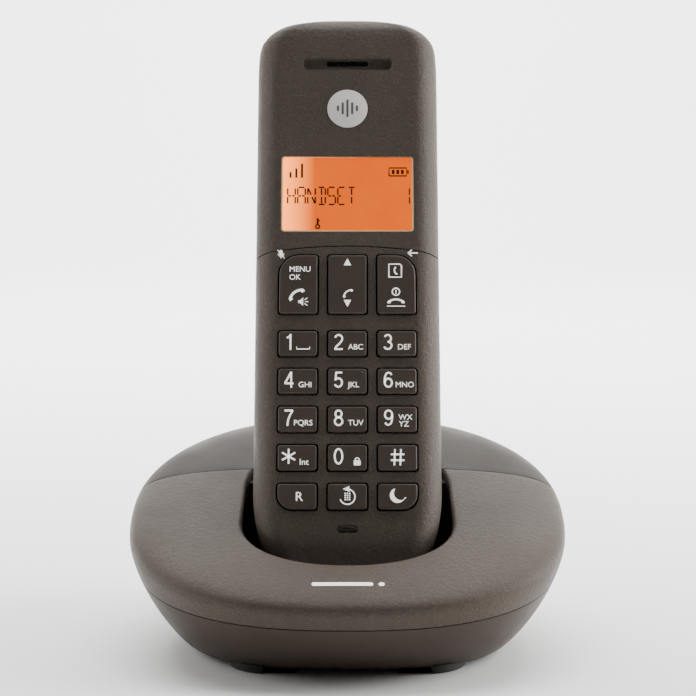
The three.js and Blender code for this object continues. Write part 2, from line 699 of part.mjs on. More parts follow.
// Every key: its name, centre, size and corner radii (lower left, lower right, upper right, upper left).
const keys = [];
for (const [name, side] of columns) {
  const { width, height, centreY, corner, outerCorner } = tallKey;
  const radii = [corner, corner, side > 0 ? outerCorner : corner, side < 0 ? outerCorner : corner];
  keys.push({ name: `key_function_${name}`, x: side * key.pitchX, y: centreY, width, height, radii, rocks: true });
}
digitNames.forEach((row, rowIndex) => {
  columns.forEach(([, side], column) => {
    const { width, height, corner, pitchY, firstRowY } = digitKey;
    const y = firstRowY + pitchY * (digitNames.length - rowIndex);
    const radii = [corner, corner, corner, corner];
    keys.push({ name: `key_${row[column]}`, x: side * key.pitchX, y, width, height, radii });
  });
});
for (const [name, side] of columns) {
  const { width, height, corner, firstRowY } = digitKey;
  const radii = [side < 0 ? lowKeyCorner : corner, side > 0 ? lowKeyCorner : corner, corner, corner];
  keys.push({ name: `key_low_${name}`, x: side * key.pitchX, y: firstRowY, width, height, radii });
}

const keyOutline = ({ x, y, width, height, radii }, shrink) => roundedRectangle(
  width - 2 * shrink, height - 2 * shrink, radii.map((radius) => Math.max(radius - shrink, 0.3)), x, y);

function buildKeys() {
  for (const item of keys) {
    const cap = prism(keyOutline(item, key.clearance), -key.foot, key.proud);
    const overhang = key.flange - key.clearance;
    const [halfX, halfY] = [item.width / 2 + overhang, item.height / 2 + overhang];
    // A sliding key has a rim all round; a two-way key has a short one at its rocking line.
    const rimHalfY = item.rocks ? 2 : halfY;
    const rim = box(item.x - halfX, item.x + halfX, item.y - rimHalfY, item.y + rimHalfY,
      -key.foot, -key.foot + key.flange);
    addPiece(handsetGroup, item.name, joined(cap, rim), 'keyCap');
  }
}

// The curved joint between the faceplates, as the region above it.
function aboveSeam(offset) {
  const { seamY, seamRadius } = handset;
  const steps = 12;
  const points = [[THROUGH, 2 * handset.length], [-THROUGH, 2 * handset.length]];
  for (let i = 0; i <= steps; i += 1) {
    const x = mix(-THROUGH, THROUGH, i / steps);
    const arcX = Math.max(-handset.width, Math.min(handset.width, x));
    points.push([x, seamY - (arcX ** 2) / (2 * seamRadius) + offset]);
  }
  return prism(polygon(points), -THROUGH, THROUGH);
}

const displayOpening = (grow) => roundedRectangle(display.width + 2 * grow, display.height + 2 * grow,
  display.corner + grow, 0, display.centreY);

const earOpening = (grow) => roundedRectangle(2 * (ear.halfWidth + grow), ear.height + 2 * grow,
  ear.height / 2 + grow - 0.01, 0, ear.centreY);

function buildFaceplates() {
  const hollow = cut(handsetBody(0), handsetBody(handset.wall, true));
  const front = hollow.intersect(box(-THROUGH, THROUGH, -THROUGH, handset.length + THROUGH,
    -handset.partingDepth + GAP / 2, THROUGH));

  const badgeSeat = rod(badge.radius + GAP, 0, badge.centreY, -badge.thickness - GAP, THROUGH, 32);
  const earRecess = prism(earOpening(0), -ear.recess, THROUGH);
  const earSlot = prism(roundedRectangle(2 * ear.slotHalfWidth, ear.slotHeight, ear.slotCorner, 0, ear.centreY),
    -THROUGH, THROUGH);
  const upper = cut(front.intersect(aboveSeam(GAP / 2)),
    prism(displayOpening(0), -THROUGH, THROUGH), badgeSeat, earRecess, earSlot);
  addPiece(handsetGroup, 'handset_face_upper', upper, 'face');

  const openings = keys.map((item) => prism(keyOutline(item, 0), -THROUGH, THROUGH));
  const micRecess = prism(roundedRectangle(2 * mic.halfWidth, mic.height, mic.corner, 0, mic.centreY), -mic.recess, THROUGH);
  const micSlot = prism(roundedRectangle(2 * mic.slotHalfWidth, mic.slotHeight, mic.slotCorner, 0, mic.centreY),
    -THROUGH, THROUGH);
  const bosses = [-1, 1].map((side) => rod(caseScrew.shankRadius + caseScrew.bossWall, side * caseScrew.centreX,
    caseScrew.centreY, -handset.partingDepth + GAP, -handset.wall + 0.5, 16));
  const bores = [-1, 1].map((side) => rod(caseScrew.shankRadius + GAP, side * caseScrew.centreX,
    caseScrew.centreY, -THROUGH, -handset.wall - 1, 16));
  const lowerRegion = cut(front, aboveSeam(-GAP / 2));
  const lower = cut(joined(lowerRegion, ...bosses), ...openings, micRecess, micSlot, ...bores);
  addPiece(handsetGroup, 'handset_face_lower', lower, 'face');
}

function buildFaceParts() {
  addPiece(handsetGroup, 'display_window', prism(displayOpening(-GAP), -display.thickness, -display.recess), 'display');
  const lcdShape = roundedRectangle(lcd.width, lcd.height, lcd.corner, 0, display.centreY);
  addPiece(handsetGroup, 'display_module', prism(lcdShape, -lcd.depth - lcd.thickness, -lcd.depth), 'metal');
  addPiece(handsetGroup, 'badge_disc', rod(badge.radius, 0, badge.centreY, -badge.thickness, badge.proud, 32), 'white');
  const insert = roundedRectangle(2 * (ear.slotHalfWidth - GAP), ear.slotHeight - 2 * GAP, 0.2, 0, ear.centreY);
  addPiece(handsetGroup, 'earpiece_insert', prism(insert, -handset.wall, -ear.recess - 0.3), 'rubber');
  const receiverTop = -handset.wall - GAP - 0.6;
  addPiece(handsetGroup, 'earpiece_receiver',
    rod(receiver.radius, 0, ear.centreY, receiverTop - receiver.thickness, receiverTop), 'metal');
  addPiece(handsetGroup, 'microphone',
    rod(mic.radius, 0, mic.centreY, -board.depth + GAP, -handset.wall - GAP, 16), 'metal');
}

function buildHandsetBoard() {
  const matShape = roundedRectangle(2 * mat.halfWidth, mat.highY - mat.lowY, 3, 0, (mat.highY + mat.lowY) / 2);
  addPiece(handsetGroup, 'keypad_mat', prism(matShape, -mat.depth - mat.thickness, -mat.depth), 'rubber');
  const boardShape = roundedRectangle(2 * board.halfWidth, board.highY - board.lowY, 3, 0,
    (board.highY + board.lowY) / 2);
  addPiece(handsetGroup, 'handset_circuit_board',
    prism(boardShape, -board.depth - board.thickness, -board.depth), 'board');
}

// The space the battery door takes out of the back.  Its lower corners are no rounder than the gap at
// its sides, so that the door slides down past them.
function doorRegion(grow) {
  const radii = [GAP, GAP, door.corner, door.corner];
  const shape = roundedRectangle(2 * (door.halfWidth + grow), door.highY - door.lowY + 2 * grow, radii, 0,
    (door.highY + door.lowY) / 2);
  return prism(shape, -THROUGH, -handset.partingDepth - 3);
}

function buildBackShell() {
  const rearHalf = box(-THROUGH, THROUGH, -THROUGH, handset.length + THROUGH,
    -THROUGH, -handset.partingDepth - GAP / 2);
  const innerSkin = handsetBody(handset.wall, true);
  const underDoor = handsetBody(door.thickness + GAP);
  const doorRecess = cut(doorRegion(GAP), underDoor);
  const shell = cut(handsetBody(0), innerSkin).intersect(rearHalf);

  const { halfWidth, lowY, highY, wall, floorDepth } = tray;
  const trayBlock = box(-halfWidth - wall, halfWidth + wall, lowY - wall, highY + wall,
    -handset.gripDepth + 0.6, -floorDepth + wall - GAP);
  const trayHollow = box(-halfWidth, halfWidth, lowY, highY, -THROUGH, -floorDepth);

  const { centreX, centreY, headRadius, shankRadius, headDepth } = caseScrew;
  const posts = [];
  const seats = [];
  const pads = [];
  for (const side of [-1, 1]) {
    const x = side * centreX;
    posts.push(rod(headRadius + 1.4, x, centreY, -handset.lowerDepth + 1, -handset.partingDepth - GAP)
      .intersect(handsetBody(handset.wall / 2, true)));
    seats.push(rod(headRadius + GAP, x, centreY, -THROUGH, -headDepth + GAP, 16));
    seats.push(rod(shankRadius + GAP, x, centreY, -THROUGH, 0, 12));
    const padX = side * pad.centreX;
    pads.push(box(padX - pad.width / 2 - GAP, padX + pad.width / 2 + GAP, pad.centreY - pad.height / 2 - GAP,
      pad.centreY + pad.height / 2 + GAP, -THROUGH, -handset.lowerDepth + 4));
  }
  const grille = [];
  for (let i = 0; i < speaker.slots; i += 1) {
    const y = speaker.centreY + (i - (speaker.slots - 1) / 2) * speaker.slotPitch;
    const half = speaker.slotHalf - Math.abs(i - (speaker.slots - 1) / 2);
    grille.push(prism(roundedRectangle(2 * half, speaker.slotHeight, speaker.slotHeight / 2 - 0.05, 0, y), -THROUGH, -handset.lowerDepth));
  }
  const back = cut(joined(shell, trayBlock, ...posts), trayHollow, doorRecess, ...seats, ...pads, ...grille);
  addPiece(handsetGroup, 'handset_back_shell', back, 'face');

  const doorSkin = cut(handsetBody(0), handsetBody(door.thickness));
  const ribs = [];
  for (let i = 0; i < doorGrip.ribs; i += 1) {
    const y = door.highY - doorGrip.fromTop - i * doorGrip.pitch;
    ribs.push(box(-doorGrip.halfWidth, doorGrip.halfWidth, y - doorGrip.halfHeight, y + doorGrip.halfHeight, -THROUGH, -handset.doorDepth + door.groove));
  }
  addPiece(handsetGroup, 'battery_door', cut(doorSkin.intersect(doorRegion(0)), ...ribs), 'face');
}

function buildBattery() {
  const { radius, length, nubRadius, nubLength, chamfer, lowY, depth } = cell;
  // The left cell points up, the right one down.
  for (const [name, side] of [['battery_cell_left', -1], ['battery_cell_right', 1]]) {
    const profile = [
      [0, 0], [radius - chamfer, 0], [radius, chamfer], [radius, length - chamfer], [radius - chamfer, length],
      [nubRadius, length], [nubRadius, length + nubLength], [0, length + nubLength],
    ].map(([r, y]) => new THREE.Vector2(r, side < 0 ? y : length + nubLength - y));
    if (side > 0) profile.reverse();
    const lathe = new THREE.LatheGeometry(profile, 20);
    lathe.translate(side * (radius + GAP), lowY, -depth);
    addPiece(handsetGroup, name, toSolid(lathe), 'cell');
  }
  const plate = (y0, y1, bumpY0, bumpY1) => {
    const bumps = [-1, 1].map((side) => {
      const bump = new THREE.CylinderGeometry(spring.bumpRadius, spring.bumpRadius, bumpY1 - bumpY0, 14);
      bump.translate(side * (radius + GAP), (bumpY0 + bumpY1) / 2, -depth);
      return toSolid(bump);
    });
    return joined(box(-tray.halfWidth + GAP, tray.halfWidth - GAP, y0, y1,
      -depth - spring.halfHeight, -depth + spring.halfHeight), ...bumps);
  };
  const low = tray.lowY + GAP;
  const high = tray.highY - GAP;
  addPiece(handsetGroup, 'battery_contact_lower', plate(low, low + spring.plate, low + spring.plate / 2, lowY - GAP), 'metal');
  addPiece(handsetGroup, 'battery_contact_upper',
    plate(high - spring.plate, high, lowY + length + nubLength + GAP, high - spring.plate / 2), 'metal');
}

function buildLowerFittings() {
  for (const [name, side] of [['left', -1], ['right', 1]]) {
    const x = side * pad.centreX;
    addPiece(handsetGroup, `charge_pad_${name}`, box(x - pad.width / 2, x + pad.width / 2,
      pad.centreY - pad.height / 2, pad.centreY + pad.height / 2,
      -padFaceDepth, -padFaceDepth + pad.thickness), 'metal');
    const { centreX, centreY, headRadius, headHeight, shankRadius, headDepth, length } = caseScrew;
    addPiece(handsetGroup, `case_screw_${name}`, joined(
      rod(headRadius, side * centreX, centreY, -headDepth - headHeight, -headDepth, 16),
      rod(shankRadius, side * centreX, centreY, -headDepth - 1, -headDepth + length, 12),
    ), 'metal');
  }
  const speakerBack = backDepthAt(speaker.centreY + speaker.radius) - handset.wall - 2 * GAP;
  addPiece(handsetGroup, 'loudspeaker',
    rod(speaker.radius, 0, speaker.centreY, -speakerBack, -speakerBack + speaker.thickness, 24), 'metal');
}

buildLowerShell();
buildCovers();
buildWell();
buildContacts();
buildFeet();
buildBaseBoard();
buildSockets();
buildPageButton();
buildBaseScrews();
buildFaceplates();
buildKeys();
buildFaceParts();
buildHandsetBoard();
buildBackShell();
buildBattery();
buildLowerFittings();

// Stand the whole phone on Z = 0, centred in X and Y.
const bounds = new THREE.Box3().setFromObject(phone);
phone.position.set(-(bounds.min.x + bounds.max.x) / 2, -(bounds.min.y + bounds.max.y) / 2, -bounds.min.z);

export default phone;
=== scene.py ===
"""Cordless phone in its charging base: visible surfaces, finishes, stage and camera.

Laid out as an add-on.  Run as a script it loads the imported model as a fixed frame, models every
visible piece round it with Blender's own operators, and gives every piece its finish.
"""

import json
import math

import bmesh
import bpy
from bpy.props import FloatProperty, FloatVectorProperty, PointerProperty
from mathutils import Matrix, Vector


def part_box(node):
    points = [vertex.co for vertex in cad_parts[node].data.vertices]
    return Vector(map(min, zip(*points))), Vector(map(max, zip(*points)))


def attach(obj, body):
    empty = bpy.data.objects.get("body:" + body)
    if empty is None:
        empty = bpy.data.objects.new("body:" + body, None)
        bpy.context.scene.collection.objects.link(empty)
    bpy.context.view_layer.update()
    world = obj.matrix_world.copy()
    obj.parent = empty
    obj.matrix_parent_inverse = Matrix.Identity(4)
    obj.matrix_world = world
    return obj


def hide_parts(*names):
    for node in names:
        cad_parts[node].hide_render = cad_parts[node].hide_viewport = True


bl_info = {
    "name": "Cordless phone with base",
    "version": (1, 0, 0),
    "blender": (4, 5, 0),
    "location": "View3D > Sidebar > Phone",
    "description": "Models a cordless phone standing in its charging base",
    "category": "Object",
}

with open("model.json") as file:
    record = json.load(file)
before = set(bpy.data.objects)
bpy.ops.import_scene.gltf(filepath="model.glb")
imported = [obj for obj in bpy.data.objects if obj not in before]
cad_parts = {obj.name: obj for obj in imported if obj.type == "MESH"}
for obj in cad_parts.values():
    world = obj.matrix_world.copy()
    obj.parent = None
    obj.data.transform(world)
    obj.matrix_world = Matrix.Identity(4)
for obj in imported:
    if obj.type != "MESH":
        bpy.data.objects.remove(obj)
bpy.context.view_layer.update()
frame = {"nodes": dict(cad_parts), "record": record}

MM = 0.001
SEAM = 0.15 * MM  # half the gap between neighbouring covers
WALL = 2.0 * MM


# ---------------------------------------------------------------------------
# Places read from the frame
# ---------------------------------------------------------------------------

def joint(name):
    """The record's joint of that name."""
    return next(item for item in frame["record"]["behaviour"]["joints"] if item["name"] == name)


FRONT_LOW, FRONT_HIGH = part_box("base_front_cover")
REAR_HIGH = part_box("base_rear_cover")[1]
BASE_HALF_WIDTH = FRONT_HIGH.x
BASE_HALF_DEPTH = (REAR_HIGH.y - FRONT_LOW.y) / 2
BASE_CENTRE_Y = (REAR_HIGH.y + FRONT_LOW.y) / 2
BOTTOM_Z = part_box("base_lower_shell")[0].z

ALONG = Vector(joint("handset_lift")["axis"])
OUT = Vector((0, -ALONG.z, ALONG.y))
ROCK_LINE = Vector((0, 85.9 * MM, -2.0 * MM))  # the tall keys' rocking line in the handset's frame
ROCK_PLACE = Vector(joint("key_function_middle_rock")["pos_m"])
HANDSET_ORIGIN = ROCK_PLACE - ALONG * ROCK_LINE.y - OUT * ROCK_LINE.z
HANDSET = Matrix((
    (1, 0, 0, HANDSET_ORIGIN.x),
    (0, ALONG.y, OUT.y, HANDSET_ORIGIN.y),
    (0, ALONG.z, OUT.z, HANDSET_ORIGIN.z),
    (0, 0, 0, 1),
))


def middle_of(node):
    """The middle of a node's box, in the base's own frame."""
    low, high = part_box(node)
    return (low + high) / 2 - Vector((0, BASE_CENTRE_Y, 0))


def linear(red, green, blue):
    """Scene-linear colour of an 8-bit display colour."""
    def decode(value):
        share = value / 255
        return share / 12.92 if share <= 0.04045 else ((share + 0.055) / 1.055) ** 2.4
    return decode(red), decode(green), decode(blue)


# ---------------------------------------------------------------------------
# Sizes and colours a user may change
# ---------------------------------------------------------------------------

def length(label, description, value):
    return FloatProperty(name=label, description=description, default=value * MM, unit="LENGTH", precision=5)


def number(label, description, value):
    return FloatProperty(name=label, description=description, default=value)


def colour(label, description, value):
    return FloatVectorProperty(name=label, description=description, default=value, subtype="COLOR",
                               size=3, min=0, max=1)


class PhoneSizes(bpy.types.PropertyGroup):
    """Sizes of the base, the handset and the keys"""

    front_roundness: number("Front roundness", "Exponent of the base's outline, front half", 2.45)
    back_roundness: number("Back roundness", "Exponent of the base's outline, back half", 2.25)
    bottom_roundness: number("Bottom roundness", "Exponent of the bowl's outline at the floor", 2.7)
    rim_height: length("Rim height", "Height of the base's widest line at its middle", 30.31)
    rim_slope: number("Rim slope", "Rise of the widest line towards the back", 0.235)
    crown: length("Crown", "Height of the dome above the widest line", 9.44)
    crown_slope: number("Crown slope", "Growth of the crown towards the back", 0.09)
    crown_roundness: number("Crown roundness", "Exponent of the dome's profile", 3.3)
    foot_scale: number("Bowl foot", "Size of the flat bottom against the widest outline", 0.72)
    bowl_roundness: number("Bowl roundness", "Exponent of the bowl's profile", 1.36)
    parting_height: length("Parting height", "Joint between covers and lower shell at the middle", 22.26)
    parting_slope: number("Parting slope", "Rise of that joint towards the back", 0.16)
    split: length("Cover split", "Joint between the two covers, behind the middle", 8.6)
    mouth_half_width: length("Cradle half width", "Half the width of the cradle opening", 26.6)
    mouth_reach: length("Cradle front", "How far the opening's front curve bulges", 18.9)
    mouth_start: length("Cradle curve start", "Where the front curve starts, from the middle", -16.0)
    mouth_roundness: number("Cradle roundness", "Exponent of the opening's front curve", 2.2)
    mouth_narrowing: length("Cradle narrowing", "How far the opening draws in at the back", 2.0)
    mouth_narrow_from: length("Cradle narrowing start", "Where it starts to draw in", -1.0)
    lip: length("Cradle lip", "Rounding of the opening's edge", 1.0)

    handset_width: length("Handset width", "Width across the handset", 48.0)
    handset_length: length("Handset length", "Length of the handset", 160.9)
    side_rounding: length("Side rounding", "How far in from the side the face rounds over", 6.3)
    side_depth: length("Side rounding depth", "How deep that rounding reaches", 7.0)
    back_rounding: length("Back rounding", "Corner radius of the back", 9.0)
    grip_depth: length("Grip depth", "Thickness just below the battery door", 24.0)
    door_depth: length("Door depth", "Thickness over the battery door", 26.0)
    seam: length("Faceplate seam", "Where the two faceplates meet on the centre line", 96.3)

    key_proud: length("Key height", "How far a key stands above the face", 0.7)
    key_pitch: length("Key pitch", "Distance between the columns of keys", 12.63)
    key_gap: length("Key gap", "Gap between a key and its opening", 0.32)


class PhoneColours(bpy.types.PropertyGroup):
    """Colours of the phone's finishes"""

    cover: colour("Front cover", "Grained front cover", linear(78, 69, 62))
    rear_cover: colour("Rear cover", "Smooth rear cover", linear(56, 49, 43))
    shell: colour("Lower shell", "Bowl under the covers", linear(68, 59, 53))
    face: colour("Handset", "Grained handset casing", linear(82, 74, 67))
    key_cap: colour("Keys", "Key caps", linear(74, 66, 60))
    printing: colour("Printing", "Signs on the keys", linear(245, 245, 242))
    display: colour("Display", "Lit display", (0.92, 0.12, 0.0))
    segment: colour("Display signs", "Dark signs on the display", linear(18, 8, 5))
    well: colour("Cradle", "Inside of the cradle", linear(40, 37, 33))
    floor: colour("Floor", "Surface the phone stands on", (0.9, 0.9, 0.89))


def colours():
    return bpy.context.scene.phone_colours


# ---------------------------------------------------------------------------
# Modelling helpers
# ---------------------------------------------------------------------------

def clear_selection():
    if bpy.context.object and bpy.context.object.mode != "OBJECT":
        bpy.ops.object.mode_set(mode="OBJECT")
    bpy.ops.object.select_all(action="DESELECT")


def pick(obj):
    """Makes obj the only selected and the active object."""
    clear_selection()
    obj.select_set(True)
    bpy.context.view_layer.objects.active = obj


def edit(obj):
    """Opens obj in edit mode and returns its bmesh."""
    pick(obj)
    bpy.ops.object.mode_set(mode="EDIT")
    return bmesh.from_edit_mesh(obj.data)


def leave_edit():
    bpy.ops.object.mode_set(mode="OBJECT")


def choose(obj, elements, test):
    """Selects in edit mode only those 'verts', 'edges' or 'faces' that pass the test."""
    mesh = bmesh.from_edit_mesh(obj.data)
    bpy.ops.mesh.select_mode(type={"verts": "VERT", "edges": "EDGE", "faces": "FACE"}[elements])
    bpy.ops.mesh.select_all(action="DESELECT")
    for item in getattr(mesh, elements):
        item.select_set(test(item))
    bmesh.update_edit_mesh(obj.data)


def named(name):
    obj = bpy.context.object
    obj.name = name
    obj.data.name = name
    return obj


def wrapped_grid(name, columns, rows, place):
    """A flat grid whose points are laid on a surface: place(u, v) with u and v from 0 to 1."""
    clear_selection()
    bpy.ops.mesh.primitive_grid_add(x_subdivisions=columns, y_subdivisions=rows, size=2)
    obj = named(name)
    for vertex in obj.data.vertices:
        vertex.co = place((vertex.co.x + 1) / 2, (vertex.co.y + 1) / 2)
    return obj


def close_seams(obj, outside):
    """Merges doubled points and turns the faces outwards, judged at the face nearest `outside`."""
    edit(obj)
    bpy.ops.mesh.select_all(action="SELECT")
    bpy.ops.mesh.remove_doubles(threshold=0.002 * MM)
    bpy.ops.mesh.normals_make_consistent(inside=False)
    leave_edit()
    nearest = min(obj.data.polygons, key=lambda face: (face.center - outside).length)
    if nearest.normal.dot(outside - nearest.center) < 0:
        edit(obj)
        bpy.ops.mesh.select_all(action="SELECT")
        bpy.ops.mesh.flip_normals()
        leave_edit()


def bisect(obj, point, normal):
    """Cuts obj with a plane and clears what lies on the side its normal points to."""
    edit(obj)
    bpy.ops.mesh.select_all(action="SELECT")
    bpy.ops.mesh.bisect(plane_co=point, plane_no=normal, clear_outer=True, threshold=0.001 * MM)
    leave_edit()


def apply_modifier(obj, kind, **settings):
    pick(obj)
    modifier = obj.modifiers.new(kind.title(), kind)
    for setting, value in settings.items():
        setattr(modifier, setting, value)
    bpy.ops.object.modifier_apply(modifier=modifier.name)


def thicken(obj, wall=WALL):
    apply_modifier(obj, "SOLIDIFY", thickness=wall, offset=-1, use_even_offset=True, use_quality_normals=True)


def soften(obj, width, segments=3, angle=50):
    """Rounds the sharp edges."""
    apply_modifier(obj, "BEVEL", width=width, segments=segments, limit_method="ANGLE",
                   angle_limit=math.radians(angle), use_clamp_overlap=True, harden_normals=False)


def carve(obj, cutters):
    """Cuts the joined cutters out of obj and deletes them."""
    cutter = join(cutters)
    apply_modifier(obj, "BOOLEAN", operation="DIFFERENCE", object=cutter, solver="EXACT")
    bpy.data.objects.remove(cutter, do_unlink=True)


def join(objects):
    """Joins the objects into the first one."""
    clear_selection()
    for obj in objects:
        obj.select_set(True)
    bpy.context.view_layer.objects.active = objects[0]
    if len(objects) > 1:
        bpy.ops.object.join()
    return objects[0]


def smooth(obj, angle=35):
    pick(obj)
    bpy.ops.object.shade_smooth_by_angle(angle=math.radians(angle))


def settle(obj, matrix=None):
    """Moves the object's place into its mesh, so that the object itself sits at the origin."""
    obj.data.transform((matrix or Matrix()) @ obj.matrix_basis)
    obj.matrix_basis = Matrix()
    obj.data.update()


def copy_of(obj, name, matrix=None):
    """A copy with its own mesh, moved by matrix."""
    duplicate = obj.copy()
    duplicate.data = obj.data.copy()
    duplicate.name = duplicate.data.name = name
    bpy.context.scene.collection.objects.link(duplicate)
    if matrix:
        duplicate.data.transform(matrix)
    return duplicate


def block(name, centre, size):
    """A box that cutters and small pieces start from."""
    clear_selection()
    bpy.ops.mesh.primitive_cube_add(size=1, location=centre)
    obj = named(name)
    obj.scale = size
    settle(obj)
    return obj


def rod(name, centre, radius, depth, sides=48, matrix=None):
    clear_selection()
    bpy.ops.mesh.primitive_cylinder_add(vertices=sides, radius=radius, depth=depth, location=centre)
    obj = named(name)
    settle(obj, matrix)
    return obj


def rounded_block(name, x, y, width, height, low, high, radii, segments=6):
    """A block with upright corners rounded by radii: lower left, lower right, upper right, upper left."""
    obj = block(name, (x, y, (low + high) / 2), (width, height, high - low))
    corners = [(-1, -1), (1, -1), (1, 1), (-1, 1)]
    edit(obj)
    for (side_x, side_y), radius in zip(corners, radii):
        corner_x, corner_y = x + side_x * width / 2, y + side_y * height / 2

        def upright(edge):
            return all(abs(v.co.x - corner_x) < 1e-6 and abs(v.co.y - corner_y) < 1e-6 for v in edge.verts)

        choose(obj, "edges", upright)
        bpy.ops.mesh.bevel(offset=radius, segments=segments, affect="EDGES")
    leave_edit()
    return obj


def finish_piece(obj, body, slot, material, *nodes):
    """Gives a finished piece its material, its body and the CAD nodes it stands for."""
    obj.data.materials.clear()
    obj.data.materials.append(material)
    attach(obj, body)
    if nodes:
        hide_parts(*nodes)


def mix(start, end, share):
    return start + (end - start) * share


def signed_power(value, exponent):
    return math.copysign(abs(value) ** exponent, value)


# ---------------------------------------------------------------------------
# The base's surfaces, in a frame centred on the base with Z up from the floor
# ---------------------------------------------------------------------------

BASE = Matrix.Translation((0, BASE_CENTRE_Y, 0))


def outline_share(x, y, s):
    """1 on the base's widest outline, less inside it."""
    roundness = s.front_roundness if y < 0 else s.back_roundness
    across = (abs(x) / BASE_HALF_WIDTH) ** roundness
    along = (abs(y) / BASE_HALF_DEPTH) ** roundness
    return (across + along) ** (1 / roundness)


def dome(x, y, s):
    """Point of the dome over a place in plan."""
    share = min(outline_share(x, y, s), 1)
    rise = (1 - share ** s.crown_roundness) ** (1 / s.crown_roundness)
    return Vector((x, y, s.rim_height + s.rim_slope * y + (s.crown + s.crown_slope * y) * rise))


def bowl(angle, turn, s):
    """Point of the bowl: angle round the outline, turn from 0 at the widest line to 90 degrees below."""
    drop = math.sin(turn) ** (2 / s.bowl_roundness)
    scale = mix(s.foot_scale, 1, max(math.cos(turn), 0) ** (2 / s.bowl_roundness))
    front = mix(s.front_roundness, s.bottom_roundness, drop ** 8)
    roundness = front if math.sin(angle) < 0 else s.back_roundness
    x = BASE_HALF_WIDTH * signed_power(math.cos(angle), 2 / roundness)
    y = BASE_HALF_DEPTH * signed_power(math.sin(angle), 2 / roundness)
    return Vector((x * scale, y * scale, mix(s.rim_height + s.rim_slope * y, BOTTOM_Z, drop)))


def solve(function, low, high, steps=24):
    """Where a function that grows from below zero to above it crosses zero."""
    for _ in range(steps):
        middle = (low + high) / 2
        if function(middle) < 0:
            low = middle
        else:
            high = middle
    return (low + high) / 2


def parting_turn(angle, offset, s):
    """The turn at which the bowl meets the joint between covers and lower shell."""
    def fallen(turn):
        point = bowl(angle, turn, s)
        return s.parting_height + s.parting_slope * point.y + offset - point.z
    return solve(fallen, 0, math.pi / 2)


def split_angle(turn, offset, s):
    """Angle from the X axis at which the bowl, at that turn, meets the joint between the covers."""
    return solve(lambda angle: bowl(angle, turn, s).y - s.split - offset, 0, math.pi / 2)


def mouth(share, grow, s):
    """Plan of the cradle's mouth from its left end (0) round the front to its right end (1)."""
    half, reach = s.mouth_half_width + grow, s.mouth_reach + grow
    straight = s.split - SEAM - s.mouth_start
    curve = 1.25 * (half + reach)
    total = 2 * straight + curve
    along = share * total
    if along < straight or along > total - straight:
        side = -1 if along < straight else 1
        y = s.split - SEAM - min(along, total - along)
        inwards = max(0, (y - s.mouth_narrow_from) / (s.split - s.mouth_narrow_from))
        return side * (half - s.mouth_narrowing * (1 - math.sqrt(1 - min(inwards, 1) ** 2))), y
    angle = math.pi * (1 + (along - straight) / curve)
    return (half * signed_power(math.cos(angle), 2 / s.mouth_roundness),
            s.mouth_start + reach * signed_power(math.sin(angle), 2 / s.mouth_roundness))


def across_dome(start, end, share, s):
    """Point at a share of the way from a plan point inside the dome out to one on the widest line."""
    inner = min(outline_share(*start, s), 1)
    first = math.acos(inner ** (s.crown_roundness / 2))
    target = math.cos(mix(first, 0, share)) ** (2 / s.crown_roundness)

    def beyond(way):
        return outline_share(mix(start[0], end[0], way), mix(start[1], end[1], way), s) - target
    way = 0 if share <= 0 else 1 if share >= 1 else solve(beyond, 0, 1)
    return dome(mix(start[0], end[0], way), mix(start[1], end[1], way), s)


def front_cover_point(u, v, s):
    """The front cover from the cradle's lip (v = 0) over the dome and down to the lower joint (v = 1)."""
    def outer_angle(turn):
        end = split_angle(turn, -SEAM, s)
        return mix(math.pi - end, 2 * math.pi + end, u)

    if v <= 0.2:  # the lip: up the mouth's wall and over its rounded edge
        edge = mouth(u, s.lip, s)
        top = dome(*edge, s)
        inner = mouth(u, 0, s)
        outwards = Vector((edge[0] - inner[0], edge[1] - inner[1]))
        rolled = max(0, (v - 0.04) / 0.16) * math.pi / 2
        back = outwards * math.cos(rolled)
        depth = s.lip * (1 - math.sin(rolled)) + (2.2 * MM * (1 - v / 0.04) if v < 0.04 else 0)
        return Vector((edge[0] - back.x, edge[1] - back.y, top.z - depth))
    if v <= 0.8:
        rim = bowl(outer_angle(0), 0, s)
        return across_dome(mouth(u, s.lip, s), (rim.x, rim.y), (v - 0.2) / 0.6, s)
    last = parting_turn(outer_angle(0.3), SEAM, s)
    turn = last * (v - 0.8) / 0.2
    for _ in range(3):
        last = parting_turn(outer_angle(turn), SEAM, s)
        turn = last * (v - 0.8) / 0.2
    return bowl(outer_angle(turn), turn, s)


def rear_cover_point(u, v, s):
    """The rear cover from its straight front edge (v = 0) out to the lower joint (v = 1)."""
    def outer_angle(turn):
        end = split_angle(turn, SEAM, s)
        return mix(end, math.pi - end, u)

    if v <= 0.75:
        rim = bowl(outer_angle(0), 0, s)
        reach = 0.93 * bowl(split_angle(0, SEAM, s), 0, s).x
        return across_dome((reach * math.cos(math.pi * u), s.split + SEAM), (rim.x, rim.y), v / 0.75, s)
    turn = 0
    for _ in range(3):
        turn = parting_turn(outer_angle(turn), SEAM, s) * (v - 0.75) / 0.25
    return bowl(outer_angle(turn), turn, s)


def lower_shell_point(u, v, s):
    """The lower shell from the joint (v = 0) down the bowl and in to the middle of its floor (v = 1)."""
    angle = u * 2 * math.pi
    if v <= 0.8:
        first = parting_turn(angle, -SEAM, s)
        return bowl(angle, mix(first, math.pi / 2, v / 0.8), s)
    edge = bowl(angle, math.pi / 2, s)
    inwards = (1 - v) / 0.2
    return Vector((edge.x * inwards, edge.y * inwards, BOTTOM_Z))


# ---------------------------------------------------------------------------
# The handset's surface, in its own frame: x across, y along, z out of the face
# ---------------------------------------------------------------------------

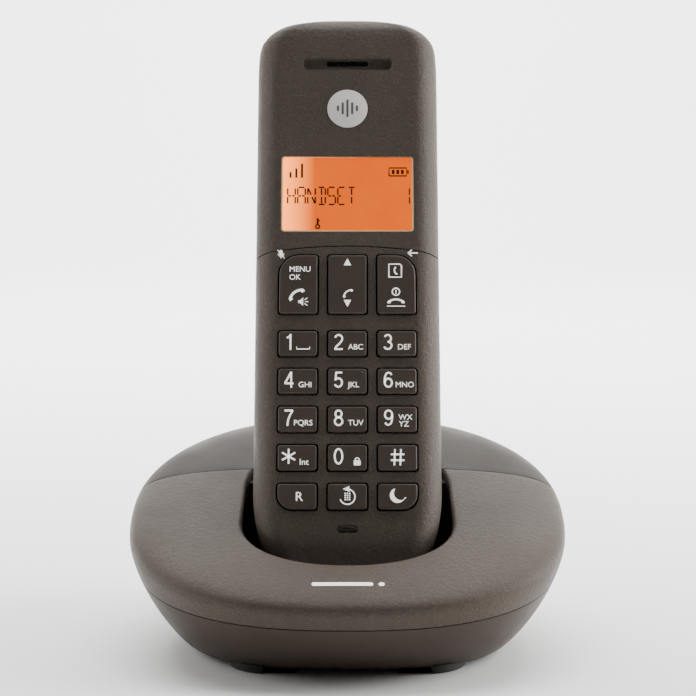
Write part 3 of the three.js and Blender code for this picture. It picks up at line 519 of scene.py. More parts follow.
TOE_LENGTH = 33 * MM
TOE_FALL_LENGTH = 5 * MM
TOE_FALL = 3.6 * MM
HEEL_RADIUS = 12 * MM
LOWER_DEPTH = 21 * MM
DOOR_LOW = 49 * MM
DOOR_HIGH = 109.1 * MM
DOOR_CORNERS = (0.3 * MM, 0.3 * MM, 1.5 * MM, 1.5 * MM)
DOOR_HALF_WIDTH = 18.95 * MM
DOOR_GAP = 0.3 * MM
PARTING_DEPTH = 11 * MM
CROWN_LENGTH = 52 * MM
BODY_COLUMNS, BODY_ROWS = 200, 150
TOE_SHARE, STRAIGHT_SHARE, CROWN_SHARE = 0.3, 0.3, 0.4  # of the rows, from the lower end up
DOOR_ROW = 8  # rows from the end of the toe to the step below the battery door

# The crowned upper end: distance back from the top, half-width, fall of the face, and depth of the
# back as a share of the depth over the battery door.
CROWN = [
    (0.0, 3.0, 4.5, 0.38), (0.3, 8.5, 3.0, 0.46), (0.9, 13.0, 1.9, 0.515), (2.0, 18.0, 1.0, 0.577),
    (3.7, 20.9, 0.3, 0.63), (5.4, 22.5, 0.06, 0.67), (7.0, 23.3, 0.0, 0.69), (10.0, 23.8, 0.0, 0.722),
    (17.0, 24.0, 0.0, 0.777), (30.0, 24.0, 0.0, 0.869), (46.0, 24.0, 0.0, 0.969), (52.0, 24.0, 0.0, 1.0),
]


def crown_station(position):
    """A point on the smooth curve through the crown's stations."""
    index = min(int(position), len(CROWN) - 2)
    share = position - index
    points = [CROWN[min(max(index + step, 0), len(CROWN) - 1)] for step in (-1, 0, 1, 2)]
    result = []
    for p0, p1, p2, p3 in zip(*points):
        slope_in, slope_out = (p2 - p0) / 2, (p3 - p1) / 2
        if (p1 - p0) * (p2 - p1) <= 0:
            slope_in = 0 if index else p2 - p1
        if (p2 - p1) * (p3 - p2) <= 0:
            slope_out = 0
        square, cube = share * share, share ** 3
        result.append((2 * cube - 3 * square + 1) * p1 + (cube - 2 * square + share) * slope_in
                      + (3 * square - 2 * cube) * p2 + (cube - square) * slope_out)
    return result


def body_station(step, s):
    """Place along the handset, half-width, face depth and back depth for a step from 0 to 1."""
    half = s.handset_width / 2
    straight_rows = round(STRAIGHT_SHARE * BODY_ROWS)
    if step < TOE_SHARE:
        angle = mix(math.radians(4), math.pi / 2, step / TOE_SHARE)
        y = TOE_LENGTH * (1 - math.cos(angle))
        width = half * math.sin(angle)
    elif step < TOE_SHARE + STRAIGHT_SHARE:
        row = (step - TOE_SHARE) / STRAIGHT_SHARE * straight_rows
        if row <= DOOR_ROW:
            y = mix(TOE_LENGTH, DOOR_LOW - 0.3 * MM, row / DOOR_ROW)
        else:
            above = (row - DOOR_ROW - 1) / (straight_rows - DOOR_ROW - 1)
            y = mix(DOOR_LOW - 0.05 * MM, s.handset_length - CROWN_LENGTH, above)
        width = half
    else:
        back, width, fall, share = crown_station((1 - step) / CROWN_SHARE * (len(CROWN) - 1))
        return s.handset_length - back * MM, width * half / CROWN[-1][1], fall * MM, share * s.door_depth
    toe = max(0, 1 - y / TOE_FALL_LENGTH)
    face = TOE_FALL * (1 - math.sqrt(1 - toe ** 2))
    if y < HEEL_RADIUS:
        depth = LOWER_DEPTH - HEEL_RADIUS + math.sqrt(max(0, HEEL_RADIUS ** 2 - (HEEL_RADIUS - y) ** 2))
    elif y < DOOR_LOW:
        depth = mix(LOWER_DEPTH, s.grip_depth, (y - HEEL_RADIUS) / (DOOR_LOW - HEEL_RADIUS))
    else:
        depth = s.door_depth
    return y, width, face, depth


def section_point(turn, station, s):
    """Point of a cross-section: a flat face rounded over at the sides, and a rounder back."""
    y, half, face, back = station
    depth = back - face
    front_x, front_z = min(s.side_rounding, half * 0.8), min(s.side_depth, depth * 0.4)
    rear_x, rear_z = min(s.back_rounding, half * 0.8), min(s.back_rounding, depth * 0.5)
    shares = (0.16, 0.24, 0.14, 0.24, 0.22)
    side = 1 if turn <= 0.5 else -1
    along = 2 * turn if turn <= 0.5 else 2 * (1 - turn)
    for part, share in enumerate(shares):
        if along <= share or part == len(shares) - 1:
            way = min(along / share, 1)
            break
        along -= share
    if part == 0:
        x, z = way * (half - front_x), face
    elif part == 1:
        angle = way * math.pi / 2
        x, z = half - front_x + front_x * math.sin(angle), face + front_z * (1 - math.cos(angle))
    elif part == 2:
        x, z = half, mix(face + front_z, back - rear_z, way)
    elif part == 3:
        angle = way * math.pi / 2
        x, z = half - rear_x + rear_x * math.cos(angle), back - rear_z + rear_z * math.sin(angle)
    else:
        x, z = (1 - way) * (half - rear_x), back
    return Vector((side * x, y, -z))


def handset_body(name, s):
    """The handset's outer skin, closed at both ends."""
    def place(u, v):
        return section_point(u, body_station(v, s), s)
    body = wrapped_grid(name, BODY_COLUMNS, BODY_ROWS, place)
    edit(body)
    bpy.ops.mesh.select_all(action="SELECT")
    bpy.ops.mesh.remove_doubles(threshold=0.002 * MM)
    choose(body, "edges", lambda edge: edge.is_boundary)
    bpy.ops.mesh.fill_holes(sides=0)
    bpy.ops.mesh.select_all(action="SELECT")
    bpy.ops.mesh.normals_make_consistent(inside=False)
    leave_edit()
    return body


# ---------------------------------------------------------------------------
# Materials
# ---------------------------------------------------------------------------

class Shader:
    """A material under construction."""

    def __init__(self, name):
        self.material = bpy.data.materials.get(name) or bpy.data.materials.new(name)
        self.material.use_nodes = True
        self.tree = self.material.node_tree
        self.tree.nodes.clear()
        self.output = self.add("ShaderNodeOutputMaterial")
        self.surface = self.add("ShaderNodeBsdfPrincipled")
        self.tree.links.new(self.surface.outputs["BSDF"], self.output.inputs["Surface"])
        self.place = self.add("ShaderNodeTexCoord").outputs["Object"]

    def add(self, kind, **settings):
        node = self.tree.nodes.new(kind)
        for setting, value in settings.items():
            setattr(node, setting, value)
        return node

    def feed(self, socket, value):
        """Links an output to a socket, or sets a constant on it."""
        if isinstance(value, bpy.types.NodeSocket):
            self.tree.links.new(value, socket)
        else:
            socket.default_value = value
        return socket

    def noise(self, size, detail=2.0, roughness=0.5, stretch=None):
        node = self.add("ShaderNodeTexNoise")
        self.feed(node.inputs["Vector"], self.stretched(stretch) if stretch else self.place)
        self.feed(node.inputs["Scale"], 1 / size)
        self.feed(node.inputs["Detail"], detail)
        self.feed(node.inputs["Roughness"], roughness)
        return node.outputs["Fac"]

    def stretched(self, scale):
        node = self.add("ShaderNodeMapping")
        self.feed(node.inputs["Vector"], self.place)
        self.feed(node.inputs["Scale"], scale)
        return node.outputs["Vector"]

    def cells(self, size, output="Distance"):
        node = self.add("ShaderNodeTexVoronoi")
        self.feed(node.inputs["Vector"], self.place)
        self.feed(node.inputs["Scale"], 1 / size)
        return node.outputs[output]

    def ramp(self, value, low, high, low_value=0.0, high_value=1.0):
        node = self.add("ShaderNodeMapRange")
        self.feed(node.inputs["Value"], value)
        self.feed(node.inputs["From Min"], low)
        self.feed(node.inputs["From Max"], high)
        self.feed(node.inputs["To Min"], low_value)
        self.feed(node.inputs["To Max"], high_value)
        return node.outputs["Result"]

    def blend(self, share, first, second):
        node = self.add("ShaderNodeMix", data_type="RGBA")
        self.feed(node.inputs["Factor"], share)
        for socket, value in ((node.inputs[6], first), (node.inputs[7], second)):
            self.feed(socket, value if isinstance(value, bpy.types.NodeSocket) else (*value[:3], 1))
        return node.outputs[2]

    def sum(self, first, second, kind="ADD"):
        node = self.add("ShaderNodeMath", operation=kind)
        self.feed(node.inputs[0], first)
        self.feed(node.inputs[1], second)
        return node.outputs[0]

    def bump(self, height, distance):
        node = self.add("ShaderNodeBump")
        self.feed(node.inputs["Height"], height)
        self.feed(node.inputs["Distance"], distance)
        self.feed(node.inputs["Strength"], 1.0)
        return node.outputs["Normal"]

    def finish(self, **values):
        for name, value in values.items():
            self.feed(self.surface.inputs[name.replace("_", " ")], value)
        return self.material


def scaled(value, factor):
    return tuple(min(channel * factor, 1) for channel in value)


def moulded(name, base, grain, depth, roughness, painted_glint_and_shade):
    """Moulded plastic with spark-eroded grain: base colour, grain size and depth, and the strength of painted
    glints on the grain's peaks and painted shade in its pits.
    """
    made = Shader(name)
    fine = made.noise(grain, 3.0, 0.65)
    clumps = made.noise(grain * 2.6, 2.0, 0.5)
    broad = made.noise(28 * MM, 2.0, 0.5)
    tone = made.ramp(broad, 0.3, 0.7, 0.93, 1.05)
    # Painted glints: the grain's high points are lightened in colour to stand in for the light they catch.
    painted_glints = made.ramp(fine, 0.56, 0.74)
    # Painted shade: the grain's hollows are darkened in colour where shade falls in them.
    painted_pit_shade = made.ramp(fine, 0.42, 0.25)
    shade = made.blend(made.sum(painted_glints, painted_glint_and_shade, "MULTIPLY"), base, scaled(base, 2.6))
    shade = made.blend(made.sum(painted_pit_shade, painted_glint_and_shade, "MULTIPLY"), shade, scaled(base, 0.35))
    toned = made.add("ShaderNodeHueSaturation")
    made.feed(toned.inputs["Color"], shade)
    made.feed(toned.inputs["Value"], tone)
    height = made.sum(made.sum(fine, 0.7, "MULTIPLY"), made.sum(clumps, 0.6, "MULTIPLY"))
    normal = made.bump(height, depth)
    smudges = made.ramp(made.noise(11 * MM, 3.0, 0.6), 0.35, 0.7, roughness - 0.05, roughness + 0.05)
    return made.finish(Base_Color=toned.outputs["Color"], Roughness=smudges, Normal=normal,
                       Specular_IOR_Level=0.14)


def printed(name, ink, painted_glow=0.0):
    """Printed ink with faintly uneven colour, and with a painted glow of its own if it is given one, though
    ink is no lamp.
    """
    made = Shader(name)
    tone = made.ramp(made.noise(0.5 * MM, 2.0), 0.3, 0.7, 0.0, 0.18)
    return made.finish(Base_Color=made.blend(tone, ink, scaled(ink, 0.75)), Roughness=0.5,
                       Emission_Color=(*ink[:3], 1), Emission_Strength=painted_glow,
                       Normal=made.bump(made.noise(0.15 * MM), 0.01 * MM))


def lit_display(name, light):
    """The backlit panel: faintly cloudy, and paler towards the left edge, where a painted reflection of a
    soft box is added to its glow.
    """
    made = Shader(name)
    parts = made.add("ShaderNodeSeparateXYZ")
    made.feed(parts.inputs[0], made.place)
    # Painted reflection: the glow turns pale along the left edge to stand in for a soft box mirrored in the
    # window.
    painted_reflection_band = made.ramp(parts.outputs["X"], -17.4 * MM, -8.5 * MM, 1.0, 0.0)
    pale = made.blend(made.sum(painted_reflection_band, 0.8, "MULTIPLY"), light, (4.2, 1.1, 0.2))
    patches = made.ramp(made.noise(7 * MM, 1.0), 0.3, 0.7, 0.0, 0.12)
    shade = made.blend(patches, pale, (1.2, 0.26, 0.01))
    return made.finish(Base_Color=(0.08, 0.02, 0.004, 1), Emission_Color=shade, Emission_Strength=1.3,
                       Roughness=0.22, Specular_IOR_Level=0.3,
                       Normal=made.bump(made.noise(9 * MM, 1.0), 0.02 * MM))


def brushed_metal(name, base, grain=0.25 * MM):
    """Plated metal with fine drawn lines and dull patches."""
    made = Shader(name)
    lines = made.noise(grain, 3.0, 0.7, stretch=(1, 9, 1))
    patches = made.ramp(made.noise(3 * MM, 3.0), 0.35, 0.7, 0.22, 0.42)
    shade = made.blend(made.ramp(lines, 0.3, 0.7, 0.0, 0.4), base, scaled(base, 0.7))
    return made.finish(Base_Color=shade, Metallic=1.0, Roughness=patches, Normal=made.bump(lines, 0.02 * MM))


def circuit_board(name):
    """Green solder resist over copper tracks."""
    made = Shader(name)
    tracks = made.ramp(made.cells(2.4 * MM), 0.32, 0.36)
    specks = made.ramp(made.cells(1.1 * MM, "Color"), 0.0, 1.0, 0.0, 0.3)
    shade = made.blend(tracks, linear(24, 92, 52), linear(36, 122, 70))
    shade = made.blend(specks, shade, linear(18, 74, 42))
    return made.finish(Base_Color=shade, Roughness=0.38, Normal=made.bump(tracks, 0.05 * MM))


def soft_rubber(name, base):
    made = Shader(name)
    dust = made.ramp(made.noise(1.6 * MM, 4.0, 0.7), 0.5, 0.75, 0.0, 0.35)
    return made.finish(Base_Color=made.blend(dust, base, scaled(base, 2.2)), Roughness=0.82,
                       Normal=made.bump(made.noise(0.35 * MM, 3.0, 0.6), 0.05 * MM), Sheen_Weight=0.15)


def cell_wrap(name):
    """The printed sleeve of a battery cell: a dark half, a green half and fine print lines."""
    made = Shader(name)
    parts = made.add("ShaderNodeSeparateXYZ")
    made.feed(parts.inputs[0], made.place)
    band = made.ramp(parts.outputs["Z"], 76 * MM, 76.3 * MM)
    lines = made.ramp(made.noise(0.8 * MM, 2.0, 0.5, stretch=(4, 1, 1)), 0.56, 0.6, 0.0, 0.35)
    shade = made.blend(band, linear(44, 128, 70), linear(36, 38, 40))
    shade = made.blend(lines, shade, linear(210, 212, 206))
    return made.finish(Base_Color=shade, Roughness=0.3, Coat_Weight=0.4,
                       Normal=made.bump(made.noise(2 * MM, 2.0), 0.03 * MM))


def pale_floor(name, base):
    made = Shader(name)
    cloudy = made.ramp(made.noise(0.35, 2.0), 0.3, 0.7, 0.0, 0.03)
    return made.finish(Base_Color=made.blend(cloudy, base, scaled(base, 0.94)), Roughness=0.75)


def finishes():
    """What makes each finish of the phone, by name."""
    c = colours()
    return {
        # The last number of each moulded finish sets the strength of its painted glints and painted pit
        # shade.
        "cover": lambda n: moulded(n, tuple(c.cover), 0.42 * MM, 0.26 * MM, 0.42, painted_glint_and_shade=0.4),
        "rear_cover": lambda n: moulded(n, tuple(c.rear_cover), 0.3 * MM, 0.03 * MM, 0.46, painted_glint_and_shade=0.1),
        "shell": lambda n: moulded(n, tuple(c.shell), 0.3 * MM, 0.025 * MM, 0.42, painted_glint_and_shade=0.1),
        "face": lambda n: moulded(n, tuple(c.face), 0.42 * MM, 0.24 * MM, 0.42, painted_glint_and_shade=0.4),
        "key_cap": lambda n: moulded(n, tuple(c.key_cap), 0.22 * MM, 0.012 * MM, 0.36, painted_glint_and_shade=0.08),
        "well": lambda n: moulded(n, tuple(c.well), 0.35 * MM, 0.05 * MM, 0.55, painted_glint_and_shade=0.15),
        "socket": lambda n: moulded(n, linear(38, 37, 35), 0.3 * MM, 0.03 * MM, 0.45, painted_glint_and_shade=0.1),
        "badge": lambda n: moulded(n, linear(232, 230, 226), 0.25 * MM, 0.01 * MM, 0.3, painted_glint_and_shade=0.03),
        "insert": lambda n: moulded(n, linear(26, 25, 23), 0.3 * MM, 0.04 * MM, 0.6, painted_glint_and_shade=0.1),
        # The white printing is given a painted glow of 0.9 that keeps it bright whatever light falls on it.
        "printing": lambda n: printed(n, tuple(c.printing), 0.9),
        "segment": lambda n: printed(n, tuple(c.segment)),
        "mark": lambda n: printed(n, linear(96, 92, 88)),
        "display": lambda n: lit_display(n, tuple(c.display)),
        # A pale frame standing in for light caught in the display window's bevelled edge: painted highlight.
        "bezel": lambda n: moulded(n, linear(250, 205, 160), 0.3 * MM, 0.01 * MM, 0.25, painted_glint_and_shade=0.02),
        "metal": lambda n: brushed_metal(n, linear(196, 194, 188)),
        "gold": lambda n: brushed_metal(n, linear(206, 178, 112)),
        "board": circuit_board,
        "rubber": lambda n: soft_rubber(n, linear(34, 33, 31)),
        "cell": cell_wrap,
    }


def finish(name):
    """The finish of that name, made on first use."""
    material = bpy.data.materials.get("phone_" + name)
    return material or finishes()[name]("phone_" + name)


# ---------------------------------------------------------------------------
# Pieces of the base
# ---------------------------------------------------------------------------

PAGE_RADIUS = 5.6 * MM
PAGE_Y = 26 * MM  # where the page button's axis meets the dome
FEET = ("foot_front_left", "foot_front_right", "foot_rear_left", "foot_rear_right")
BASE_SCREWS = ("base_screw_front_left", "base_screw_front_right",
               "base_screw_rear_left", "base_screw_rear_right")


class PieceOperator:
    """What every operator here shares."""

    bl_options = {"REGISTER", "UNDO"}

    def execute(self, context):
        self.build(context.scene.phone_sizes)
        return {"FINISHED"}


class PHONE_OT_front_cover(PieceOperator, bpy.types.Operator):
    """Models the grained front cover with the cradle's rounded mouth"""

    bl_idname = "phone.front_cover"
    bl_label = "Front cover"

    def build(self, s):
        cover = wrapped_grid("front_cover", 180, 60, lambda u, v: front_cover_point(u, v, s))
        close_seams(cover, Vector((0, -0.5, 0.3)))
        thicken(cover)
        soften(cover, 0.22 * MM, 2, angle=62)
        smooth(cover)
        settle(cover, BASE)
        finish_piece(cover, "base", "cover", finish("cover"), "base_front_cover")
        marks = []
        for start, end in ((-8.6 * MM, 6.2 * MM), (7.5 * MM, 8.9 * MM)):
            marks.append(self.mark(start, end, 1.1 * MM, s))
        mark = join(marks)
        mark.name = mark.data.name = "front_mark"
        settle(mark, BASE)
        finish_piece(mark, "base", "white", finish("printing"))

    def mark(self, start, end, height, s):
        """A printed capsule that lies on the cover's front slope."""
        def place(u, v):
            x = mix(start, end, u)
            inside = min(x - start, end - x)
            cap = math.sqrt(max(0, 1 - max(0, 1 - inside / (height / 2)) ** 2))
            point = dome(x, -42.6 * MM + (v - 0.5) * height * max(cap, 0.03), s)
            return point + Vector((0, -0.05 * MM, 0.05 * MM))
        sheet = wrapped_grid("mark", 72, 4, place)
        close_seams(sheet, Vector((0, -0.5, 0.3)))
        thicken(sheet, 2 * INK)
        return sheet


class PHONE_OT_rear_cover(PieceOperator, bpy.types.Operator):
    """Models the smooth rear cover with the hole for the page button"""

    bl_idname = "phone.rear_cover"
    bl_label = "Rear cover"

    def build(self, s):
        cover = wrapped_grid("rear_cover", 140, 48, lambda u, v: rear_cover_point(u, v, s))
        close_seams(cover, Vector((0, 0.3, 0.4)))
        thicken(cover)
        soften(cover, 0.22 * MM, 2, angle=62)
        place = (middle_of("page_button").x, PAGE_Y, s.rim_height)
        hole = rod("hole", place, PAGE_RADIUS + 0.3 * MM, 60 * MM, 72)
        carve(cover, [hole])
        smooth(cover)
        settle(cover, BASE)
        finish_piece(cover, "base", "rear_cover", finish("rear_cover"), "base_rear_cover")


class PHONE_OT_page_button(PieceOperator, bpy.types.Operator):
    """Models the round page button with its dished top"""

    bl_idname = "phone.page_button"
    bl_label = "Page button"

    def build(self, s):
        push = Vector(joint("page_button_press")["axis"])
        clear_selection()
        bpy.ops.mesh.primitive_cylinder_add(vertices=64, radius=PAGE_RADIUS, depth=4.6 * MM,
                                            location=(0, 0, -1.4 * MM))
        button = named("page_button_cap")
        settle(button)
        top = 0.9 * MM
        edit(button)
        choose(button, "faces", lambda face: all(v.co.z > top - 1e-6 for v in face.verts))
        bpy.ops.mesh.bevel(offset=0.6 * MM, segments=4, affect="EDGES")
        choose(button, "faces",
               lambda face: face.normal.z > 0.99 and face.calc_center_median().z > top - 1e-6)
        bpy.ops.mesh.inset(thickness=0.8 * MM, depth=0)
        for drop in (0.12, 0.1, 0.06):
            bpy.ops.mesh.inset(thickness=0.7 * MM, depth=-drop * MM)
        leave_edit()
        mark = stroke(arc(0, 0, 1.6 * MM, 0, 360, 40), 0.35 * MM, top - 0.3 * MM, True)
        mark.name = mark.data.name = "page_mark"
        tilt = push.rotation_difference(Vector((0, 0, -1))).inverted().to_matrix().to_4x4()
        place = BASE @ Matrix.Translation(dome(0, PAGE_Y, s)) @ tilt
        smooth(button)
        settle(button, place)
        settle(mark, place)
        finish_piece(button, "page_button", "rubber", finish("rubber"), "page_button")
        finish_piece(mark, "page_button", "white", finish("printing"))


class PHONE_OT_lower_shell(PieceOperator, bpy.types.Operator):
    """Models the bowl under the covers with its pockets, screw wells and socket openings"""

    bl_idname = "phone.lower_shell"
    bl_label = "Lower shell"

    def build(self, s):
        shell = wrapped_grid("lower_shell", 200, 64, lambda u, v: lower_shell_point(u, v, s))
        close_seams(shell, Vector((0, -0.5, 0.0)))
        thicken(shell)
        soften(shell, 0.22 * MM, 2, angle=62)
        cutters = [foot_shape(name, 0.2 * MM, 0.3 * MM) for name in FEET]
        for name in BASE_SCREWS:
            centre = middle_of(name)
            cutters.append(rod("seat", (centre.x, centre.y, 3 * MM), 3.1 * MM, 8 * MM, 32))
        behind = Vector((0, 20 * MM, 0))
        cutters.append(block("mouth", middle_of("line_socket") + behind, (10.9 * MM, 36 * MM, 7.9 * MM)))
        jack = rod("jack", (0, 0, 0), 4.3 * MM, 36 * MM, 40, Matrix.Rotation(math.pi / 2, 4, "X"))
        settle(jack, Matrix.Translation(middle_of("power_socket") + behind))
        cutters.append(jack)
        carve(shell, cutters)
        smooth(shell)
        settle(shell, BASE)
        finish_piece(shell, "base", "shell", finish("shell"), "base_lower_shell")


def foot_shape(name, grow, over=0.0):
    """The D-shaped foot called name, in the base's frame, grown sideways and, by over, up and down."""
    low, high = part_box(name)
    side = 1 if high.x > 0 else -1
    outer = high.x if side > 0 else -low.x
    inner = low.x if side > 0 else -high.x
    radius = 10 * MM
    centre = (side * (outer - radius), (low.y + high.y) / 2 - BASE_CENTRE_Y)
    disc = rod("foot", (*centre, (high.z + low.z) / 2), radius + grow, high.z - low.z + 2 * over, 72)
    bisect(disc, (side * (inner - grow), 0, 0), (-side, 0, 0))
    edit(disc)
    choose(disc, "edges", lambda edge: edge.is_boundary)
    bpy.ops.mesh.edge_face_add()
    leave_edit()
    disc.name = disc.data.name = name + "_pad"
    return disc


class PHONE_OT_feet(PieceOperator, bpy.types.Operator):
    """Models the four D-shaped rubber feet with rounded treads"""

    bl_idname = "phone.feet"
    bl_label = "Feet"

    def build(self, s):
        for name in FEET:
            pad = foot_shape(name, 0)
            edit(pad)
            choose(pad, "faces", lambda face: face.normal.z < -0.9)
            bpy.ops.mesh.inset(thickness=1.2 * MM, depth=0)
            bpy.ops.mesh.inset(thickness=0.4 * MM, depth=-0.3 * MM)
            leave_edit()
            soften(pad, 0.3 * MM, 3, angle=60)
            smooth(pad)
            settle(pad, BASE)
            finish_piece(pad, "base", "rubber", finish("rubber"), name)


# ---------------------------------------------------------------------------
# Pieces of the handset
# ---------------------------------------------------------------------------

SEAM_RADIUS = 130 * MM
DISPLAY_Y, DISPLAY_WIDTH, DISPLAY_HEIGHT = 110.6 * MM, 34.8 * MM, 20.9 * MM
EAR_Y, EAR_HALF, EAR_HEIGHT, EAR_DEPTH = 147.15 * MM, 11.85 * MM, 3.9 * MM, 0.9 * MM
BADGE_Y, BADGE_RADIUS = 134.3 * MM, 5.3 * MM
MIC_Y, MIC_HALF, MIC_HEIGHT = 22.6 * MM, 2.65 * MM, 2.0 * MM
ROW_Y = {"3": 70.17 * MM, "2": 60.29 * MM, "1": 50.41 * MM, "0": 40.53 * MM, "low": 30.65 * MM}
TALL_KEY_Y = ROCK_LINE.y
TRAY_LOW, TRAY_HIGH = -23.9 * MM, -13.6 * MM  # the battery tray's walls, below the face
COLUMNS = (("left", -1), ("middle", 0), ("right", 1))


def key_table(s):
    """Every key: node name, centre, size and corner radii from the lower left."""
    small, outer, low = 0.8 * MM, 5.5 * MM, 4.0 * MM
    width, tall, short = 10.45 * MM, 16.2 * MM, 7.1 * MM
    table = []
    for name, side in COLUMNS:
        radii = (small, small, outer if side > 0 else small, outer if side < 0 else small)
        table.append((f"key_function_{name}", side * s.key_pitch, TALL_KEY_Y, width, tall, radii))
        radii = (low if side < 0 else small, low if side > 0 else small, small, small)
        table.append((f"key_low_{name}", side * s.key_pitch, ROW_Y["low"], width, short, radii))
    for row, names in (("3", "123"), ("2", "456"), ("1", "789"), ("0", ("star", "0", "hash"))):
        for (_, side), name in zip(COLUMNS, names):
            table.append((f"key_{name}", side * s.key_pitch, ROW_Y[row], width, short, (small,) * 4))
    return table


def seam_side(name, offset, upper, s):
    """A cutter that fills all above (or below) the curved joint between the faceplates."""
    reach = 60 * MM

    def place(u, v):
        x = mix(-reach, reach, u)
        arc = s.seam - x * x / (2 * SEAM_RADIUS) + offset
        return Vector((x, mix(arc, 220 * MM if upper else -60 * MM, v), 0))
    sheet = wrapped_grid(name, 96, 1, place)
    close_seams(sheet, Vector((0, 0.1, 0.1)))
    thicken(sheet, 60 * MM)
    settle(sheet, Matrix.Translation((0, 0, 30 * MM)))
    return sheet


class PHONE_OT_faceplates(PieceOperator, bpy.types.Operator):
    """Models the upper and lower faceplates with their openings"""

    bl_idname = "phone.faceplates"
    bl_label = "Faceplates"

    def build(self, s):
        skin = handset_body("faceplate", s)
        bisect(skin, (0, 0, -PARTING_DEPTH + SEAM), (0, 0, -1))
        thicken(skin)
        lower = copy_of(skin, "faceplate_lower")
        upper = skin

        cutters = [seam_side("below", SEAM, False, s)]
        cutters.append(rounded_block("window", 0, DISPLAY_Y, DISPLAY_WIDTH, DISPLAY_HEIGHT,
                                     -8 * MM, 2 * MM, (1.0 * MM,) * 4))
        cutters.append(rod("badge", (0, BADGE_Y, 0.9 * MM), BADGE_RADIUS + 0.12 * MM, 4 * MM, 96))
        carve(upper, cutters)
        recess = rounded_block("recess", 0, EAR_Y, 2 * EAR_HALF, EAR_HEIGHT, -EAR_DEPTH, 3 * MM,
                               (1.6 * MM,) * 4, 10)
        edit(recess)
        choose(recess, "edges", lambda edge: all(v.co.z < -EAR_DEPTH + 1e-6 for v in edge.verts))
        bpy.ops.mesh.bevel(offset=0.6 * MM, segments=4, affect="EDGES")
        leave_edit()
        slot = rounded_block("slot", 0, EAR_Y + 0.2 * MM, 11 * MM, 1.7 * MM, -6 * MM, 3 * MM,
                             (0.7 * MM,) * 4, 8)
        carve(upper, [slot])
        carve(upper, [recess])
        smooth(upper, 40)
        upper.name = upper.data.name = "faceplate_upper"
        settle(upper, HANDSET)
        finish_piece(upper, "handset", "face", finish("face"), "handset_face_upper")

        cutters = [seam_side("above", -SEAM, True, s)]
        for _, x, y, width, height, radii in key_table(s):
            radii = [radius + 0.1 * MM for radius in radii]
            cutters.append(rounded_block("opening", x, y, width + 0.2 * MM, height + 0.2 * MM,
                                         -8 * MM, 2 * MM, radii, 10))
        carve(lower, cutters)
        pit = rounded_block("pit", 0, MIC_Y, 2 * MIC_HALF, MIC_HEIGHT, -0.8 * MM, 3 * MM, (0.95 * MM,) * 4, 8)
        edit(pit)
        choose(pit, "edges", lambda edge: all(v.co.z < -0.79 * MM for v in edge.verts))
        bpy.ops.mesh.bevel(offset=0.5 * MM, segments=4, affect="EDGES")
        leave_edit()
        carve(lower, [pit])
        slot = rounded_block("slot", 0, MIC_Y, 2.6 * MM, 0.9 * MM, -6 * MM, 3 * MM, (0.3 * MM,) * 4, 4)
        carve(lower, [slot])
        smooth(lower, 40)
        settle(lower, HANDSET)
        finish_piece(lower, "handset", "face", finish("face"), "handset_face_lower")


class PHONE_OT_back_shell(PieceOperator, bpy.types.Operator):
    """Models the back shell and the sliding battery door"""

    bl_idname = "phone.back_shell"
    bl_label = "Back shell and battery door"

    def build(self, s):
        skin = handset_body("back_shell", s)
        bisect(skin, (0, 0, -PARTING_DEPTH - SEAM), (0, 0, 1))
        door = copy_of(skin, "battery_door_skin")
        thicken(skin)
        cutters = [rounded_block("door_hole", 0, (DOOR_LOW + DOOR_HIGH) / 2,
                                 2 * (DOOR_HALF_WIDTH + DOOR_GAP), DOOR_HIGH - DOOR_LOW + 2 * DOOR_GAP,
                                 -60 * MM, -13.5 * MM, DOOR_CORNERS)]
        for side in (-1, 1):
            cutters.append(rod("seat", (side * 13 * MM, 15 * MM, -25 * MM), 2.8 * MM, 20 * MM, 40))
            cutters.append(rounded_block("pad", side * 5 * MM, 16 * MM, 4.6 * MM, 5.6 * MM,
                                         -40 * MM, -15 * MM, (0.3 * MM,) * 4, 3))
        for index in range(5):
            reach = 6.5 - abs(index - 2)
            cutters.append(rounded_block("slot", 0, (126 + (index - 2) * 2.6) * MM, 2 * reach * MM, 1.1 * MM,
                                         -40 * MM, -15 * MM, (0.5 * MM,) * 4, 4))
        carve(skin, cutters)
        tray = rounded_block("tray", 0, 78.9 * MM, 33 * MM, 59.6 * MM, TRAY_LOW, -22.4 * MM, (1.2 * MM,) * 4)
        carve(tray, [block("tray_hole", (0, 78.65 * MM, -23 * MM), (22.3 * MM, 52.0 * MM, 4 * MM))])
        for x, y, width, height in ((-11.95, 78.65, 1.2, 54.8), (11.95, 78.65, 1.2, 54.8),
                                    (0, 51.9, 22.7, 1.3), (0, 105.4, 22.7, 1.3)):
            wall = block("tray_wall", (x * MM, y * MM, (TRAY_LOW + TRAY_HIGH) / 2),
                         (width * MM, height * MM, TRAY_HIGH - TRAY_LOW))
            tray = join([tray, wall])
        shell = join([skin, tray])
        smooth(shell, 40)
        settle(shell, HANDSET)
        finish_piece(shell, "handset", "face", finish("face"), "handset_back_shell")

        bisect(door, (0, DOOR_LOW - 3 * MM, 0), (0, -1, 0))
        bisect(door, (0, DOOR_HIGH + 3 * MM, 0), (0, 1, 0))
        thicken(door, 1.6 * MM)
        region = rounded_block("region", 0, (DOOR_LOW + DOOR_HIGH) / 2, 2 * DOOR_HALF_WIDTH,
                               DOOR_HIGH - DOOR_LOW, -60 * MM, -14 * MM, DOOR_CORNERS)
        apply_modifier(door, "BOOLEAN", operation="INTERSECT", object=region, solver="EXACT")
        bpy.data.objects.remove(region, do_unlink=True)
        ribs = [rounded_block("rib", 0, DOOR_HIGH - (6 + 2.2 * index) * MM, 14 * MM, 0.8 * MM,
                              -s.door_depth - 1 * MM, -s.door_depth + 0.4 * MM, (0.35 * MM,) * 4, 4)
                for index in range(4)]
        carve(door, ribs)
        smooth(door, 40)
        settle(door, HANDSET)
        finish_piece(door, "battery_door", "face", finish("face"), "battery_door")


